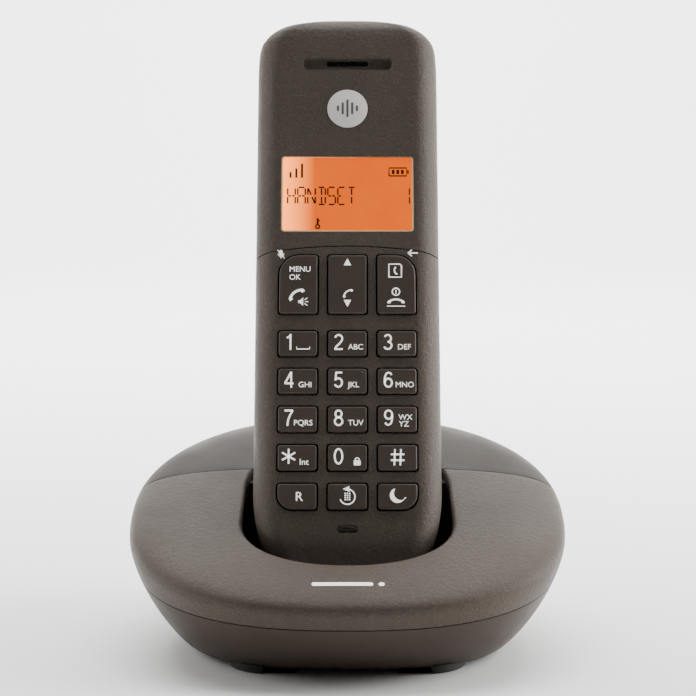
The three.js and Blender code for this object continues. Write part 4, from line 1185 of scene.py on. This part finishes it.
class PHONE_OT_face_fittings(PieceOperator, bpy.types.Operator):
    """Models the display's window, the round badge and the earpiece grille"""

    bl_idname = "phone.face_fittings"
    bl_label = "Display, badge and earpiece"

    def build(self, s):
        gap = 0.3 * MM
        pane = rounded_block("display_pane", 0, DISPLAY_Y, DISPLAY_WIDTH - 2 * gap, DISPLAY_HEIGHT - 2 * gap,
                             -1.4 * MM, -0.35 * MM, (0.8 * MM,) * 4)
        soften(pane, 0.25 * MM, 3, angle=60)
        smooth(pane)
        settle(pane, HANDSET)
        finish_piece(pane, "handset", "display", finish("display"), "display_window")

        # The window's bevelled edge as a pale frame round the pane: a painted highlight on its lit walls,
        # made thinner at the top where that wall is in shade.
        edge = rounded_block("display_edge", 0, DISPLAY_Y, DISPLAY_WIDTH - 0.1 * MM,
                             DISPLAY_HEIGHT - 0.1 * MM, -1.2 * MM, -0.12 * MM, (0.9 * MM,) * 4)
        inner = rounded_block("inner", 0, DISPLAY_Y + 0.1 * MM, DISPLAY_WIDTH - 1.1 * MM,
                              DISPLAY_HEIGHT - 0.8 * MM, -3 * MM, 3 * MM, (0.6 * MM,) * 4)
        carve(edge, [inner])
        soften(edge, 0.15 * MM, 2, angle=60)
        smooth(edge)
        settle(edge, HANDSET)
        finish_piece(edge, "handset", "display", finish("bezel"))

        disc = rod("badge_face", (0, BADGE_Y, -0.35 * MM), BADGE_RADIUS, 0.9 * MM, 96)
        edit(disc)
        choose(disc, "faces", lambda face: face.normal.z > 0.9)
        bpy.ops.mesh.bevel(offset=0.15 * MM, segments=3, affect="EDGES")
        leave_edit()
        smooth(disc)
        settle(disc, HANDSET)
        finish_piece(disc, "handset", "white", finish("badge"), "badge_disc")
        bars = [rounded_block("badge_bar", (index - 2) * 1.25 * MM, BADGE_Y, 0.6 * MM, height * MM,
                              0.1 * MM, 0.1 * MM + 2 * INK, (0.28 * MM,) * 4, 5)
                for index, height in enumerate((1.6, 3.4, 5.0, 3.4, 1.6))]
        mark = join(bars)
        mark.name = mark.data.name = "badge_mark"
        settle(mark, HANDSET)
        finish_piece(mark, "handset", "white", finish("mark"))

        grille = rounded_block("ear_grille", 0, EAR_Y + 0.25 * MM, 11.6 * MM, 1.3 * MM, -1.9 * MM, -1.25 * MM,
                               (0.5 * MM,) * 4)
        holes = [rod("hole", ((index - 4) * 1.2 * MM, EAR_Y + 0.25 * MM, -1.5 * MM), 0.32 * MM, 3 * MM, 16)
                 for index in range(9)]
        carve(grille, holes)
        settle(grille, HANDSET)
        finish_piece(grille, "handset", "rubber", finish("insert"), "earpiece_insert")


# ---------------------------------------------------------------------------
# Printed signs, drawn flat in the handset's frame
# ---------------------------------------------------------------------------

INK = 0.03 * MM


def lettering(words, x, y, height, low, align="CENTER"):
    """Words as a thin solid: x is the left edge or the middle, y the middle of the capitals."""
    clear_selection()
    bpy.ops.object.text_add(location=(0, 0, 0))
    obj = bpy.context.object
    obj.data.body = words
    obj.data.align_x = align
    obj.data.size = height / 0.70
    obj.data.resolution_u = 5
    obj.data.extrude = INK
    bpy.ops.object.convert(target="MESH")
    obj = bpy.context.object
    settle(obj, Matrix.Translation((x, y - height / 2, low + INK)))
    return obj


def stroke(points, width, low, closed=False):
    """A ribbon of even width through the points."""
    points = [Vector((px, py)) for px, py in points]
    count = len(points) - 1

    def place(u, v):
        index = round(u * count)
        before = points[index - 1 if index else (count - 1 if closed else 0)]
        after = points[index + 1 if index < count else (1 if closed else count)]
        forwards = (after - before).normalized()
        side = Vector((-forwards.y, forwards.x)) * (v - 0.5) * width
        return Vector((points[index].x + side.x, points[index].y + side.y, 0))
    ribbon = wrapped_grid("stroke", max(count, 1), 1, place)
    if closed:
        edit(ribbon)
        bpy.ops.mesh.select_all(action="SELECT")
        bpy.ops.mesh.remove_doubles(threshold=0.002 * MM)
        leave_edit()
    return raised(ribbon, low)


def raised(sheet, low):
    """Gives a flat sheet the thickness of printed ink."""
    edit(sheet)
    bpy.ops.mesh.select_all(action="SELECT")
    bpy.ops.mesh.normals_make_consistent(inside=False)
    leave_edit()
    if sheet.data.polygons[0].normal.z < 0:
        edit(sheet)
        bpy.ops.mesh.select_all(action="SELECT")
        bpy.ops.mesh.flip_normals()
        leave_edit()
    thicken(sheet, 2 * INK)
    settle(sheet, Matrix.Translation((0, 0, low + 2 * INK)))
    return sheet


def arc(x, y, radius, start, end, steps=20):
    return [(x + radius * math.cos(math.radians(mix(start, end, i / steps))),
             y + radius * math.sin(math.radians(mix(start, end, i / steps)))) for i in range(steps + 1)]


def filled(points, low):
    """A filled outline, started from a circle primitive whose points are moved to the outline."""
    clear_selection()
    bpy.ops.mesh.primitive_circle_add(vertices=len(points), fill_type="NGON")
    sheet = bpy.context.object
    for vertex, (x, y) in zip(sheet.data.vertices, points):
        vertex.co = (x, y, 0)
    return raised(sheet, low)


def receiver(x, y, size, turn, low, weight=1.0, ears=0.14):
    """The outline of an old telephone receiver: a bowed grip with an ear at each end."""
    spin = math.radians(turn)

    def turned(px, py):
        px, py = px * size, py * size
        return x + px * math.cos(spin) - py * math.sin(spin), y + px * math.sin(spin) + py * math.cos(spin)
    grip = [(mix(-0.42, 0.42, i / 12), 0.14 * (1 - mix(-1, 1, i / 12) ** 2)) for i in range(13)]
    pieces = [stroke([turned(*point) for point in grip], size * 0.13 * weight, low)]
    for side in (-1, 1):
        outer, inner = side * 0.5, side * 0.3
        ear = [(outer, -ears), (inner, 0.02 - ears), (inner + side * 0.03, 0.03),
               (side * 0.44, 0.06), (outer, 0.0)]
        corners = [turned(*point) for point in ear]
        pieces.append(filled(corners if side < 0 else corners[::-1], low))
    return join(pieces)


def bow(x, y, across, up, start, end, steps=18):
    """Points of an elliptic arc, in shares of a digit's height."""
    return [(x + across * math.cos(math.radians(mix(start, end, i / steps))),
             y + up * math.sin(math.radians(mix(start, end, i / steps)))) for i in range(steps + 1)]


# The strokes of each digit, in shares of its height, from its lower left corner.
DIGITS = {
    "0": [bow(0.28, 0.5, 0.23, 0.45, 0, 360, 36)],
    "1": [[(0.36, 0.0), (0.36, 1.0)], [(0.14, 0.77), (0.26, 0.81), (0.35, 0.95)]],
    "2": [bow(0.28, 0.71, 0.22, 0.24, 165, -25) + [(0.36, 0.42), (0.12, 0.2), (0.06, 0.05)],
          [(0.02, 0.05), (0.53, 0.05)]],
    "3": [bow(0.26, 0.73, 0.2, 0.22, 155, -90), bow(0.26, 0.28, 0.23, 0.23, 90, -160)],
    "4": [[(0.42, 0.0), (0.42, 1.0)], [(0.41, 0.96), (0.05, 0.3)], [(0.02, 0.27), (0.56, 0.27)]],
    "5": [[(0.5, 0.95), (0.11, 0.95)], [(0.13, 0.98), (0.09, 0.46)], bow(0.26, 0.32, 0.23, 0.27, 140, -155)],
    "6": [bow(0.28, 0.31, 0.22, 0.26, 0, 360, 32),
          [(0.48, 0.8), (0.41, 0.91), (0.29, 0.95), (0.16, 0.88), (0.08, 0.7), (0.05, 0.45), (0.06, 0.3)]],
    "7": [[(0.03, 0.95), (0.54, 0.95)], [(0.52, 0.94), (0.36, 0.66), (0.25, 0.36), (0.21, 0.0)]],
    "8": [bow(0.28, 0.74, 0.19, 0.21, 0, 360, 32), bow(0.28, 0.28, 0.23, 0.24, 0, 360, 32)],
    "9": [bow(0.28, 0.69, 0.22, 0.26, 0, 360, 32),
          [(0.08, 0.2), (0.15, 0.09), (0.27, 0.05), (0.4, 0.12), (0.48, 0.3), (0.51, 0.55), (0.5, 0.7)]],
}


def digit(label, x, y, height, low):
    """A digit drawn with an even stroke; x is its left edge and y its middle."""
    parts = []
    for points in DIGITS[label]:
        placed = [(x + px * height, y + (py - 0.5) * height) for px, py in points]
        closed = len(points) > 2 and math.dist(points[0], points[-1]) < 1e-6
        parts.append(stroke(placed, 0.44 * MM, low, closed))
    return join(parts)


class Pen:
    """Draws signs round a place on the face, with places and sizes given in millimetres from there."""

    def __init__(self, x, y, low):
        self.low = low
        self.parts = []
        self.move(x, y)

    def move(self, x, y):
        self.x, self.y = x, y

    def at(self, across, up):
        return self.x + across * MM, self.y + up * MM

    def line(self, points, width):
        self.parts.append(stroke([self.at(*point) for point in points], width * MM, self.low))

    def curve(self, centre, radius, start, end, steps, width, closed=False):
        points = arc(*self.at(*centre), radius * MM, start, end, steps)
        self.parts.append(stroke(points, width * MM, self.low, closed))

    def shape(self, points):
        self.parts.append(filled([self.at(*point) for point in points], self.low))

    def tablet(self, centre, width, height, radius, segments):
        self.parts.append(rounded_block("tablet", *self.at(*centre), width * MM, height * MM, self.low,
                                        self.low + 2 * INK, (radius * MM,) * 4, segments))

    def words(self, text, across, up, height, align="LEFT"):
        self.parts.append(lettering(text, *self.at(across, up), height * MM, self.low, align))

    def receiver(self, centre, size, turn, weight=1.0, ears=0.14):
        self.parts.append(receiver(*self.at(*centre), size * MM, turn, self.low, weight, ears))

    def digit(self, label):
        self.parts.append(digit(label, *self.at(-3.4, 0.3), 4.15 * MM, self.low))

    def finished(self, name, slot, material, body="handset"):
        """Joins what was drawn into one piece on the handset's face."""
        signs = join(self.parts)
        signs.name = signs.data.name = name
        settle(signs, HANDSET)
        finish_piece(signs, body, slot, material)


LETTERS = {"2": "ABC", "3": "DEF", "4": "GHI", "5": "JKL", "6": "MNO", "7": "PQRS", "8": "TUV"}
LETTER_SHIFTS = {"6": -0.5, "7": -1.0}


def draw_digit_key(pen, label):
    pen.digit(label)
    if label in LETTERS:
        pen.words(LETTERS[label], LETTER_SHIFTS.get(label, 0.15), -0.95, 1.42)
    elif label == "9":
        pen.words("WX", 0.3, 0.5, 1.4)
        pen.words("YZ", 0.4, -1.25, 1.4)
    elif label == "1":
        pen.line([(-0.35, -0.95), (-0.3, -1.55), (2.95, -1.55), (3.0, -0.95)], 0.26)
    elif label == "0":  # a padlock
        pen.tablet((2.45, -1.35), 1.7, 1.3, 0.15, 2)
        pen.curve((2.45, -0.65), 0.55, 0, 180, 12, 0.24)


def draw_star(pen):
    for turn in (90, 30, -30):
        across, up = math.cos(math.radians(turn)) * 1.9, math.sin(math.radians(turn)) * 1.9
        pen.line([(-2.15 - across, 0.3 - up), (-2.15 + across, 0.3 + up)], 0.42)
    pen.words("Int", 0.5, -1.1, 1.55)


def draw_hash(pen):
    for side in (-1, 1):
        pen.line([(side * 0.75 - 0.1, -2.0), (side * 0.75 + 0.1, 2.1)], 0.4)
        pen.line([(-1.7, side * 0.75 + 0.05), (1.7, side * 0.75 + 0.05)], 0.4)


def draw_recall(pen):
    pen.words("R", 0.5, 0, 2.3, "CENTER")


def draw_redial(pen):
    """A round arrow about a keypad of small dots."""
    pen.curve((0, -0.1), 1.9, -160, 75, 28, 0.3)
    pen.shape([(-1.15, 1.85), (0.55, 1.15), (0.45, 2.6)])
    for column in range(3):
        for row in range(4):
            pen.tablet(((column - 1) * 0.55, 0.75 - row * 0.52), 0.36, 0.34, 0.08, 1)


def draw_moon(pen):
    outer = arc(-0.1, 0.25, 1.9, 120, 345, 26)
    inner = arc(0.75, 0.8, 1.75, 322, 142, 22)
    pen.shape(outer + inner)


def draw_menu_and_call(pen):
    """Two words over a receiver and a loudspeaker."""
    pen.words("MENU", -2.4, 4.0, 1.42)
    pen.words("OK", -2.4, 1.85, 1.42)
    pen.receiver((-0.55, -2.75), 4.6, 36)
    pen.shape([(0.0, -5.1), (0.45, -5.1), (1.25, -5.85), (1.25, -3.65), (0.45, -4.4), (0.0, -4.4)])
    for turn in (-32, 0, 32):
        across, up = math.cos(math.radians(turn)), math.sin(math.radians(turn))
        pen.line([(1.0 + 0.75 * across, -4.75 + 0.95 * up), (1.0 + 1.6 * across, -4.75 + 1.9 * up)], 0.2)


def draw_up_and_down(pen):
    """An arrowhead at each end, with a receiver over the lower one."""
    pen.shape([(-0.95, 5.0), (0.95, 5.0), (0, 6.8)])
    pen.shape([(-0.95, -4.3), (0, -6.1), (0.95, -4.3)])
    pen.receiver((0.05, -2.45), 3.1, 40, 0.85)


def draw_book_and_end(pen):
    """An address book over a resting receiver with an on-off sign."""
    pen.line([(-1.95, 1.8), (1.3, 1.8), (1.3, 4.9), (0.9, 5.3), (-1.95, 5.3), (-1.95, 1.8)], 0.32)
    pen.receiver((-0.2, 3.5), 2.1, 100, 1.2)
    pen.curve((-0.15, -2.1), 0.95, 0, 360, 32, 0.28, True)
    pen.line([(-0.15, -2.6), (-0.15, -1.6)], 0.26)
    pen.receiver((-0.15, -4.75), 4.4, 0, 0.8, 0.1)
    pen.line([(-2.5, -5.95), (2.2, -5.95)], 0.22)


KEY_ARTWORK = {
    "star": draw_star, "hash": draw_hash, "low_left": draw_recall, "low_middle": draw_redial,
    "low_right": draw_moon, "function_left": draw_menu_and_call, "function_middle": draw_up_and_down,
    "function_right": draw_book_and_end,
}


class PHONE_OT_keys(PieceOperator, bpy.types.Operator):
    """Models the key caps, with softened edges, and the signs printed on them"""

    bl_idname = "phone.keys"
    bl_label = "Keys"

    def build(self, s):
        patterns = {}
        for name, x, y, width, height, radii in key_table(s):
            shape = (width, height, radii)
            if shape not in patterns:
                patterns[shape] = self.cap(width, height, radii, s)
            cap = copy_of(patterns[shape], name + "_cap", HANDSET @ Matrix.Translation((x, y, 0)))
            finish_piece(cap, name, "key_cap", finish("key_cap"), name)
            if name == "key_5":
                self.dot(x + 3.6 * MM, y + 2.1 * MM, s.key_proud)
            label = name[len("key_"):]
            pen = Pen(x, y, s.key_proud + 0.005 * MM)
            if label.isdigit():
                draw_digit_key(pen, label)
            else:
                KEY_ARTWORK[label](pen)
            pen.finished(name + "_sign", "white", finish("printing"), name)
        for cap in patterns.values():
            bpy.data.objects.remove(cap, do_unlink=True)

    def cap(self, width, height, radii, s):
        """A key cap with its upper edge rounded over; the last inset keeps its top shaded flat."""
        inner = [max(radius - s.key_gap, 0.7 * MM) for radius in radii]
        cap = rounded_block("cap", 0, 0, width - 2 * s.key_gap, height - 2 * s.key_gap,
                            -2.4 * MM, s.key_proud, inner, 8)
        soft = min(0.6 * min(inner), 0.42 * MM)
        edit(cap)
        choose(cap, "faces", lambda face: face.normal.z > 0.99)
        bpy.ops.mesh.bevel(offset=soft, offset_type="OFFSET", segments=4, affect="EDGES")
        choose(cap, "faces", lambda face: face.normal.z > 0.999)
        bpy.ops.mesh.inset(thickness=0.3 * (min(inner) - soft), depth=0)
        leave_edit()
        smooth(cap, 50)
        return cap

    def dot(self, x, y, low):
        """The raised dot that a finger finds on the middle key."""
        clear_selection()
        bpy.ops.mesh.primitive_uv_sphere_add(segments=20, ring_count=12, radius=0.45 * MM)
        dot = named("key_5_dot")
        dot.scale = (1, 1, 0.6)
        settle(dot)
        bisect(dot, (0, 0, -0.05 * MM), (0, 0, -1))
        edit(dot)
        choose(dot, "edges", lambda edge: edge.is_boundary)
        bpy.ops.mesh.edge_face_add()
        leave_edit()
        smooth(dot)
        settle(dot, HANDSET @ Matrix.Translation((x, y, low)))
        finish_piece(dot, "key_5", "key_cap", finish("key_cap"))


# Strokes of a sixteen-part digit: ends on a grid 0-2 across and 0-2 up.
DIGIT_STROKES = {
    "a": ((0, 2), (2, 2)), "b": ((2, 2), (2, 1)), "c": ((2, 1), (2, 0)), "d": ((0, 0), (2, 0)),
    "e": ((0, 0), (0, 1)), "f": ((0, 1), (0, 2)), "g": ((0, 1), (1, 1)), "h": ((1, 1), (2, 1)),
    "i": ((0, 2), (1, 1)), "j": ((1, 1), (1, 2)), "k": ((1, 1), (1, 0)), "m": ((1, 1), (2, 0)),
}
DISPLAY_WORD = ("efbcgh", "efabcgh", "efbcim", "adbcjk", "afghcd", "afedg", "ajk")


class PHONE_OT_display_signs(PieceOperator, bpy.types.Operator):
    """Draws the dark signs behind the display's window and the signs beside the seam"""

    bl_idname = "phone.display_signs"
    bl_label = "Display and face signs"

    def build(self, s):
        self.display()
        self.beside_seam()

    def display(self):
        """A word and a number in stroke letters, bars of reception, a battery and a key."""
        pen = Pen(0, DISPLAY_Y, -0.346 * MM)
        for index, letter in enumerate(DISPLAY_WORD):
            left = -15.6 + index * 2.62
            for part in letter:
                (ax, ay), (bx, by) = DIGIT_STROKES[part]
                pen.line([(left + mix(ax, bx, share) * 0.98, -2.85 + mix(ay, by, share) * 2.35)
                          for share in (0.12, 0.88)], 0.4)
        for side in (0, 1):
            pen.line([(16.2, -2.6 + side * 2.35), (16.2, -0.8 + side * 2.35)], 0.34)
        for x, height in ((-14.9, 1.6), (-13.4, 2.6), (-11.9, 3.9)):
            pen.line([(x, 4.5), (x, 4.5 + height)], 0.55)
        pen.line([(10.9, 5.0), (15.5, 5.0), (15.5, 7.2), (10.9, 7.2), (10.9, 5.0)], 0.36)
        pen.line([(15.85, 5.6), (15.85, 6.6)], 0.4)
        for x in (12.0, 13.2, 14.4):
            pen.line([(x, 5.5), (x, 6.7)], 0.72)
        pen.curve((-7.75, -8.9), 0.5, 0, 360, 24, 0.4, True)
        pen.line([(-7.75, -8.3), (-7.75, -6.6)], 0.55)
        pen.line([(-7.5, -7.3), (-7.1, -7.3)], 0.3)
        pen.finished("display_signs", "display", finish("segment"))

    def beside_seam(self):
        """An arrow at the right and a crossed-out microphone at the left."""
        pen = Pen(16.9 * MM, 94.4 * MM, 0.004 * MM)
        pen.line([(-1.0, 0), (1.3, 0)], 0.3)
        pen.line([(-0.2, 0.85), (-1.2, 0), (-0.2, -0.85)], 0.3)
        pen.move(-17.2 * MM, 94.1 * MM)
        pen.tablet((0, 0.35), 0.85, 1.5, 0.4, 4)
        pen.curve((0, 0.15), 0.75, 180, 360, 12, 0.18)
        pen.line([(0, -0.6), (0, -1.1)], 0.2)
        pen.line([(-0.9, 1.1), (0.9, -1.1)], 0.2)
        pen.finished("face_signs", "white", finish("printing"))


class PHONE_OT_inner_finishes(PieceOperator, bpy.types.Operator):
    """Gives the inner pieces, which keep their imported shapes, their finishes"""

    bl_idname = "phone.inner_finishes"
    bl_label = "Inner pieces"

    def build(self, s):
        kinds = {
            "metal": ("base_screw_", "case_screw_", "battery_contact_", "display_module",
                      "earpiece_receiver", "microphone", "loudspeaker"),
            "gold": ("charge_contact_", "charge_pad_"),
            "board": ("base_circuit_board", "handset_circuit_board"),
            "rubber": ("keypad_mat",),
            "cell": ("battery_cell_",),
            "well": ("cradle_well",),
            "socket": ("line_socket", "power_socket", "page_switch"),
        }
        for kind, starts in kinds.items():
            for name, node in frame["nodes"].items():
                if name.startswith(starts):
                    for slot in node.material_slots:
                        slot.material = finish(kind)


# ---------------------------------------------------------------------------
# Stage
# ---------------------------------------------------------------------------

FLOOR_REACH = 2.2  # from the phone to the floor's front and side edges
FLOOR_SWEEP = 4.6  # along the floor, round the curve and up
COVE_START, COVE_RADIUS = 1.1, 0.5
CAMERA_PLACE = (0.00015, -0.46316, 0.1367)
CAMERA_TILT = 7.5  # degrees below level
CAMERA_LENS = 93.1


class PHONE_OT_stage(bpy.types.Operator):
    """Sets up the floor, the lights and the camera"""

    bl_idname = "phone.stage"
    bl_label = "Stage"
    bl_options = {"REGISTER", "UNDO"}

    def execute(self, context):
        self.floor()
        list(self.lights(context))
        self.world(context)
        self.camera(context)
        return {"FINISHED"}

    def floor(self):
        """The floor, which rises in a curve behind the phone."""
        def cove(u, v):
            x = mix(-FLOOR_REACH, FLOOR_REACH, u)
            along = v * FLOOR_SWEEP
            curved = along - FLOOR_REACH - COVE_START
            if curved < 0:
                return Vector((x, along - FLOOR_REACH, 0))
            turn = min(curved / COVE_RADIUS, math.pi / 2)
            rest = max(0, curved - COVE_RADIUS * math.pi / 2)
            return Vector((x, COVE_START + COVE_RADIUS * math.sin(turn),
                           COVE_RADIUS * (1 - math.cos(turn)) + rest))

        floor = wrapped_grid("floor", 8, 60, cove)
        close_seams(floor, Vector((0, 0, 0.5)))
        smooth(floor, 60)
        floor.data.materials.append(pale_floor("phone_floor", tuple(colours().floor)))
        return floor

    def lights(self, context):
        """Soft boxes: name, place, target, width, height and power."""
        middle = (0, 0, 0.07)
        for name, place, target, width, height, power in (
                ("top_light", (0, 0.42, 1.0), (0, 0.3, 0), 1.2, 0.8, 24),
                ("left_light", (-0.7, 0.08, 0.3), middle, 0.3, 0.7, 4),
                ("right_light", (0.7, 0.08, 0.32), middle, 0.3, 0.7, 11),
                ("back_light", (0, 0.45, 1.0), (0, 1.5, 0.45), 2.2, 0.5, 85)):
            data = bpy.data.lights.new(name, "AREA")
            data.shape, data.size, data.size_y, data.energy = "RECTANGLE", width, height, power
            lamp = bpy.data.objects.new(name, data)
            context.scene.collection.objects.link(lamp)
            lamp.location = place
            lamp.rotation_euler = (Vector(target) - Vector(place)).to_track_quat("-Z", "Y").to_euler()
            yield lamp

    def world(self, context):
        world = bpy.data.worlds.get("phone_world") or bpy.data.worlds.new("phone_world")
        context.scene.world = world
        world.use_nodes = True
        shade = world.node_tree.nodes["Background"]
        shade.inputs["Color"].default_value = (1, 1, 1, 1)
        shade.inputs["Strength"].default_value = 0.04

    def camera(self, context):
        data = bpy.data.cameras.new("camera")
        data.lens, data.sensor_width = CAMERA_LENS, 36
        camera = bpy.data.objects.new("camera", data)
        context.scene.collection.objects.link(camera)
        camera.location = CAMERA_PLACE
        camera.rotation_euler = (math.radians(90 - CAMERA_TILT), 0, 0)
        context.scene.camera = camera


# ---------------------------------------------------------------------------
# Panel and registration
# ---------------------------------------------------------------------------

STEPS = (
    PHONE_OT_lower_shell, PHONE_OT_front_cover, PHONE_OT_rear_cover, PHONE_OT_feet, PHONE_OT_page_button,
    PHONE_OT_faceplates, PHONE_OT_back_shell, PHONE_OT_face_fittings, PHONE_OT_keys,
    PHONE_OT_display_signs, PHONE_OT_inner_finishes, PHONE_OT_stage,
)


class PHONE_PT_panel(bpy.types.Panel):
    """Lists the steps that build the phone"""

    bl_idname = "PHONE_PT_panel"
    bl_label = "Cordless phone"
    bl_space_type = "VIEW_3D"
    bl_region_type = "UI"
    bl_category = "Phone"

    def draw(self, context):
        for step in STEPS:
            self.layout.operator(step.bl_idname)
        for group in (context.scene.phone_sizes, context.scene.phone_colours):
            box = self.layout.box()
            for name in group.bl_rna.properties.keys():
                if name not in {"rna_type", "name"}:
                    box.prop(group, name)


CLASSES = (PhoneSizes, PhoneColours, *STEPS, PHONE_PT_panel)


def register():
    for cls in CLASSES:
        bpy.utils.register_class(cls)
    bpy.types.Scene.phone_sizes = PointerProperty(type=PhoneSizes)
    bpy.types.Scene.phone_colours = PointerProperty(type=PhoneColours)


def unregister():
    del bpy.types.Scene.phone_colours
    del bpy.types.Scene.phone_sizes
    for cls in reversed(CLASSES):
        bpy.utils.unregister_class(cls)


def main():
    register()
    for step in STEPS:
        group, name = step.bl_idname.split(".")
        getattr(getattr(bpy.ops, group), name)()


if __name__ == "__main__":
    main()
